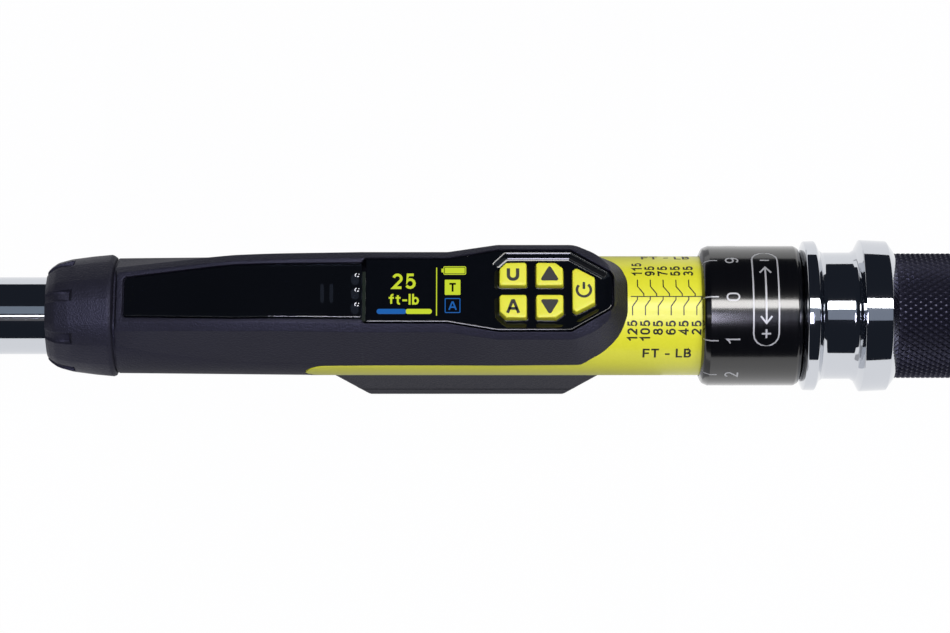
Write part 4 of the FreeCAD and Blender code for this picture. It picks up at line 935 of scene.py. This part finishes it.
# Printed shrink sleeve on the cells: glossy film over steel.
cell_film, tree, shader, where = finish_of("printed_cell_film", {"Roughness": 0.25, "Metallic": 0.3})
band = add(tree, "SeparateXYZ", {}, [("Vector", where, "Object")])
half = add(tree, "Math", {"operation": "GREATER_THAN", 1: 0.241}, [(0, band, "X")])
tint = add(tree, "Mix", {"data_type": "RGBA", 6: linear("#22262c"), 7: linear("#8a8d92")},
           [("Factor", half, "Value")])
link(tree, tint, 2, shader, "Base Color")
dress(cell_film, "battery_cells")


# ---- Thimble ----
# Turned aluminium drum fixed on the handle, gloss black anodised, with ten divisions of one ft-lb and
# their figures cut through by laser. Its skirt slides over the sleeve.

# Gloss black anodising: black, glassy, with the lathe's marks just visible in the highlight.
black_anodised, tree, shader, where = finish_of(
    "gloss_black_anodising", {"IOR": 1.6, "Coat Weight": 0.4, "Coat Roughness": 0.06})
mottle(shader, where, 1.0, 2.0, tint=("#050507", "#0a0a0d"), haze=(0.13, 0.21),
       stretch=(4500.0, 60.0, 60.0))

DRUM = 20.05                         # the drum's radius
drum = eased([(thimble_start + dx, r, radius) for dx, r, radius in (
    (0.0, 17.32, 0.05), (0.0, 17.75, 0.15), (0.75, 19.35, 1.2), (2.45, DRUM, 0.08), (27.0, DRUM, 1.0),
    (28.2, 19.4, 0.5), (28.6, 18.2, 0.3), (28.6, 15.6, 0), (22.9, 15.6, 0), (22.9, 17.32, 0))],
    closed=True, steps=5)
piece("thimble_drum", *turn(drum), black_anodised, "handle", "black_aluminium", ["thimble"])

# Laser-cut marks: bare pale aluminium with a dry, even look.
laser_marked, tree, shader, where = finish_of("laser_marked_aluminium", {"Roughness": 0.5, "Metallic": 0.4})
mottle(shader, where, 5000.0, 2.0, tint=("#a9aaac", "#c6c7c9"))

DRUM_TURN = -3.1                     # where the drum's 0 stands at rest, in degrees from the index line


def drum_radius(x):
    """The drum's outside: its front bevel, then the cylinder."""
    return height_on(drum[8:], x, DRUM)


def lasered(name, flat, radius, along, degrees):
    mark(name, flat, on_round(radius, thimble_start + along, degrees), laser_marked, "handle",
         "black_aluminium", thick=0.012)


line = stroke([(d, 0.0) for d in (0.3, 0.5, 0.7, 0.9, 1.1, 1.4, 1.8, 2.1, 2.4, 2.6, 4.5)], 0.36)
for k in range(10):
    turned = DRUM_TURN - 36.0 * k
    lasered(f"thimble_line_{k}", line, drum_radius, 0.0, turned)
    lasered(f"thimble_figure_{k}", gather([(lettering(str(k), 3.9, 0.45), 90, 0, 0)]), DRUM, 8.6, turned)
arrow = [(frame_of(7.6, 31.0, 3.6, 0.42), 0, 0, 0), (stroke([(0, -8.2), (0, 8.2)], 0.5), 0, 0, 0)]
for way in (1, -1):
    arrow.append((stroke([(-1.6, 6.6 * way), (0, 8.6 * way), (1.6, 6.6 * way)], 0.5), 0, 0, 0))
    arrow.append((bar(2.6, 0.5, 0.1), 0, 0, 11.6 * way))
arrow.append((bar(0.5, 2.6, 0.1), 0, 0, -11.6))
lasered("thimble_turn_sign", gather(arrow), DRUM, 17.9, 0.0)


# ---- Lock collar ----
# Turned steel collar with a finger groove between its flanges, chromium plated all over. Pulled back, it
# drops two balls into grooves under the handle, so that the setting can't turn.

lock_start, lock_end = span("lock_collar")
collar_line = eased([(lock_start + dx, r, radius) for dx, r, radius in (
    (-0.42, 15.65, 0), (-0.42, 18.5, 0.4), (0.75, 21.4, 0.6), (3.9, 21.5, 0.6), (5.2, 18.9, 0.5),
    (6.3, 18.2, 0.8), (14.2, 18.2, 0.9), (15.4, 18.9, 1.0), (16.9, 21.8, 0.5), (24.4, 21.45, 0.5),
    (26.35, 18.8, 0.3),
    (26.4, 18.2, 0.0), (21.0, 18.2, 0), (21.0, 15.65, 0))], closed=True, steps=6)
piece("lock_collar_ring", *turn(collar_line, 224), bright_chrome, "collar", "chrome", ["lock_collar"])


# ---- Grip and end cap ----
# Aluminium tube, diamond-knurled by two rolls and black anodised. Its front neck runs under the lock
# collar and the thimble, and a nylon cap closes its end.

# Black anodising on a knurl: painted shade makes it deep black in the grooves, and a painted highlight makes it
# paler on the diamonds' tips.
knurl_anodised, tree, shader, where = finish_of(
    "black_anodised_knurl", {"IOR": 1.6, "Specular Tint": linear("#d8d8ff")})
tips = add(tree, "NewGeometry")
# Pointiness finds the diamonds' tips: the pale colour there is a painted highlight, and the black in the
# grooves is painted shade.
painted_tip_light = add(tree, "MapRange", {"From Min": 0.50, "From Max": 0.62, "To Min": 0.0, "To Max": 1.0},
           [("Value", tips, "Pointiness")])
tint = add(tree, "Mix", {"data_type": "RGBA", 6: linear("#0a0a10"), 7: linear("#383846")},
           [("Factor", painted_tip_light, "Result")])
mottle(shader, where, 900.0, 3.0, haze=(0.32, 0.46))
link(tree, tint, 2, shader, "Base Color")

grip_low, grip_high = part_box("handle_grip")
neck_start, grip_end = grip_low.x / MM, grip_high.x / MM
grip_start = lock_end + 0.4
AROUND = 60                          # diamonds round the grip
KNURL_LONG = 2.85                    # a diamond's length
KNURL_TIP, KNURL_ROOT = 17.9, 17.2   # radii of the diamonds' tips and of the grooves
cells = round((grip_end - grip_start - 3.6) / KNURL_LONG)
points, faces = [], []
index = {}


def knurl_point(i, j, r, tag, du=0.0, dv=0.0):
    """A shared point of the knurl at half-cell i along and j round."""
    key = (i, j % (2 * AROUND), tag)
    if key not in index:
        index[key] = len(points)
        a = math.pi * (j + dv) / AROUND
        points.append((grip_start + 0.05 + (i + du) * KNURL_LONG / 2, r * math.sin(a), r * math.cos(a)))
    return index[key]


FLAT = 0.24                          # share of each diamond left flat at its tip
for i in range(0, 2 * cells):
    for j in range(2 * AROUND):
        if (i + j) % 2:
            continue
        ways = ((-1, 0), (0, -1), (1, 0), (0, 1))
        roots = [knurl_point(i + a, j + b, KNURL_ROOT, "root") for a, b in ways]
        tops = [knurl_point(i, j, KNURL_TIP, ("tip", k), a * FLAT, b * FLAT) for k, (a, b) in enumerate(ways)]
        faces.append(tuple(tops))
        for k in range(4):
            m = (k + 1) % 4
            faces.append((roots[k], roots[m], tops[m], tops[k]))
piece("grip_knurl", points, faces, knurl_anodised, "handle", "black_aluminium", sharp=20)

# Plain black anodising where the grip isn't knurled: the same gloss as the drum.
core = eased([(neck_start, 13.48, 0), (neck_start, 15.48, 0), (grip_start, 15.48, 0), (grip_start, 17.1, 0.1),
              (grip_end - 3.4, 17.15, 0), (grip_end - 3.0, 17.6, 0.2), (grip_end - 0.4, 17.6, 0.3),
              (grip_end, 17.2, 0), (grip_end, 12.6, 0), (grip_end - 8.0, 12.6, 0), (grip_end - 8.0, 11.25, 0),
              (370.0, 11.25, 0), (370.0, 13.48, 0)], closed=True, steps=3)
piece("grip_core", *turn(core), black_anodised, "handle", "black_aluminium", ["handle_grip"])

cap_low, cap_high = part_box("end_cap")
cap_end = cap_high.x / MM
cap_line = eased([(grip_end + 0.05, 7.3, 0), (grip_end + 0.05, 17.5, 0.2), (grip_end + 3.6, 17.7, 1.2),
                  (cap_end - 0.6, 15.9, 1.2), (cap_end, 13.2, 0.8), (cap_end - 0.6, 9.0, 3.0),
                  (cap_end - 0.9, 0.01, 0), (grip_end + 3.8, 0.01, 0), (grip_end + 3.8, 7.3, 0)],
                 closed=True, steps=5)
piece("end_cap_dome", *turn(cap_line), grained_nylon, "handle", "black_nylon", ["end_cap"])


# ---- Floor, light and camera ----
# A white table lit from within, so that it stays plain, soft strips and dim panels above the tool, and the
# camera a little in front of straight above.

# Lit white acrylic table: even white, with only the faintest mottle.
table_white, tree, shader, where = finish_of(
    "lit_white_table", {"Base Color": linear("#0a0a0a"), "Roughness": 1.0, "Specular IOR Level": 0.0,
                        "Emission Strength": 1.0})
mottle = add(tree, "TexNoise", {"Scale": 3.0, "Detail": 2.0}, [("Vector", where, "Object")])
tint = add(tree, "Mix", {"data_type": "RGBA", 6: linear("#fdfdfe"), 7: linear("#ffffff")},
           [("Factor", mottle, "Fac")])
link(tree, tint, 2, shader, "Emission Color")
floor_z = cad_box[0].z


def sheet(name, x0, x1, reach, z, material):
    """A flat staged sheet, as far to each side as its reach, in metres."""
    mesh = bpy.data.meshes.new(name)
    mesh.from_pydata([(x0, -reach, z), (x1, -reach, z), (x1, reach, z), (x0, reach, z)], [], [(0, 1, 2, 3)])
    mesh.materials.append(material)
    made = bpy.data.objects.new(name, mesh)
    bpy.context.scene.collection.objects.link(made)
    return made


sheet("table", -6.0, 6.0, 6.0, floor_z, table_white)

# Dull grey card: low even light from below, so that the housing's dark flanks stay dark.
card_grey, tree, shader, where = finish_of(
    "dull_grey_card", {"Base Color": linear("#0a0a0a"), "Roughness": 1.0, "Specular IOR Level": 0.0,
                       "Emission Strength": 0.5})
fibre = add(tree, "TexNoise", {"Scale": 60.0, "Detail": 2.0}, [("Vector", where, "Object")])
tint = add(tree, "Mix", {"data_type": "RGBA", 6: linear("#e8e8ee"), 7: linear("#f4f4f6")},
           [("Factor", fibre, "Fac")])
link(tree, tint, 2, shader, "Emission Color")
card = sheet("card", shell_start * MM - 0.01, shell_end * MM + 0.012, 0.16, floor_z + 0.0004, card_grey)
card.visible_camera = False

aim = Vector((0.2345, 0.0, AXIS))


def lamp(name, bearing, away, width, length, radiance, colour, along=0.0):
    """A soft box facing the tool; bearing is its angle from +Y up over the top."""
    light = bpy.data.lights.new(name, "AREA")
    light.shape = "RECTANGLE"
    light.size, light.size_y = length, width
    light.energy = radiance * width * length * math.pi
    light.color = linear(colour)[:3]
    holder = bpy.data.objects.new(name, light)
    out = Vector((0, math.cos(math.radians(bearing)), math.sin(math.radians(bearing))))
    length_way = Vector((1, 0, 0))
    facing = Matrix((length_way, out.cross(length_way), out)).transposed().to_4x4()
    holder.matrix_world = Matrix.Translation(aim + out * away + length_way * along) @ facing
    bpy.context.scene.collection.objects.link(holder)


lamp("strip_over_grip", 89.5, 1.4, 0.34, 1.5, 12.0, "#fffdfb", 0.62)
lamp("strip_over_head", 109.5, 1.4, 0.09, 1.2, 2.6, "#ffffff", -0.72)
lamp("grey_panel", 104.0, 1.6, 0.66, 1.7, 0.42, "#c8d2e4", 0.72)
lamp("head_panel", 92.0, 1.6, 0.62, 1.7, 0.36, "#c8d8ea", -0.98)
lamp("brown_panel", 119.0, 1.6, 0.26, 1.7, 0.16, "#d8d4d0", -0.98)
lamp("grain_light", 112.0, 1.9, 0.50, 0.42, 22.0, "#e8e6ff", -0.11)

world = bpy.data.worlds.new("room")
world.use_nodes = True
bpy.context.scene.world = world
tree = world.node_tree
ray = add(tree, "LightPath")
room = tree.nodes["Background"]
room.inputs["Color"].default_value = linear("#20242c")
pale = add(tree, "Background", {"Color": linear("#f4f5f7"), "Strength": 1.0})
choose = add(tree, "MixShader", {}, [("Fac", ray, "Is Camera Ray"), (1, room, "Background"),
                                               (2, pale, "Background")])
link(tree, choose, "Shader", tree.nodes["World Output"], "Surface")
bpy.context.scene.view_settings.view_transform = "Standard"

ELEVATION = math.radians(71.5)
back = Vector((0, -math.cos(ELEVATION), math.sin(ELEVATION)))
eye = bpy.data.cameras.new("camera")
eye.sensor_width = 36.0
eye.lens = 125.2
camera = bpy.data.objects.new("camera", eye)
upward = Vector((0, math.sin(ELEVATION), math.cos(ELEVATION)))
camera.location = aim + back * 0.95 - upward * 0.00023
camera.rotation_mode = "QUATERNION"
camera.rotation_quaternion = (-back).to_track_quat("-Z", "Y")
bpy.context.scene.collection.objects.link(camera)
bpy.context.scene.camera = camera
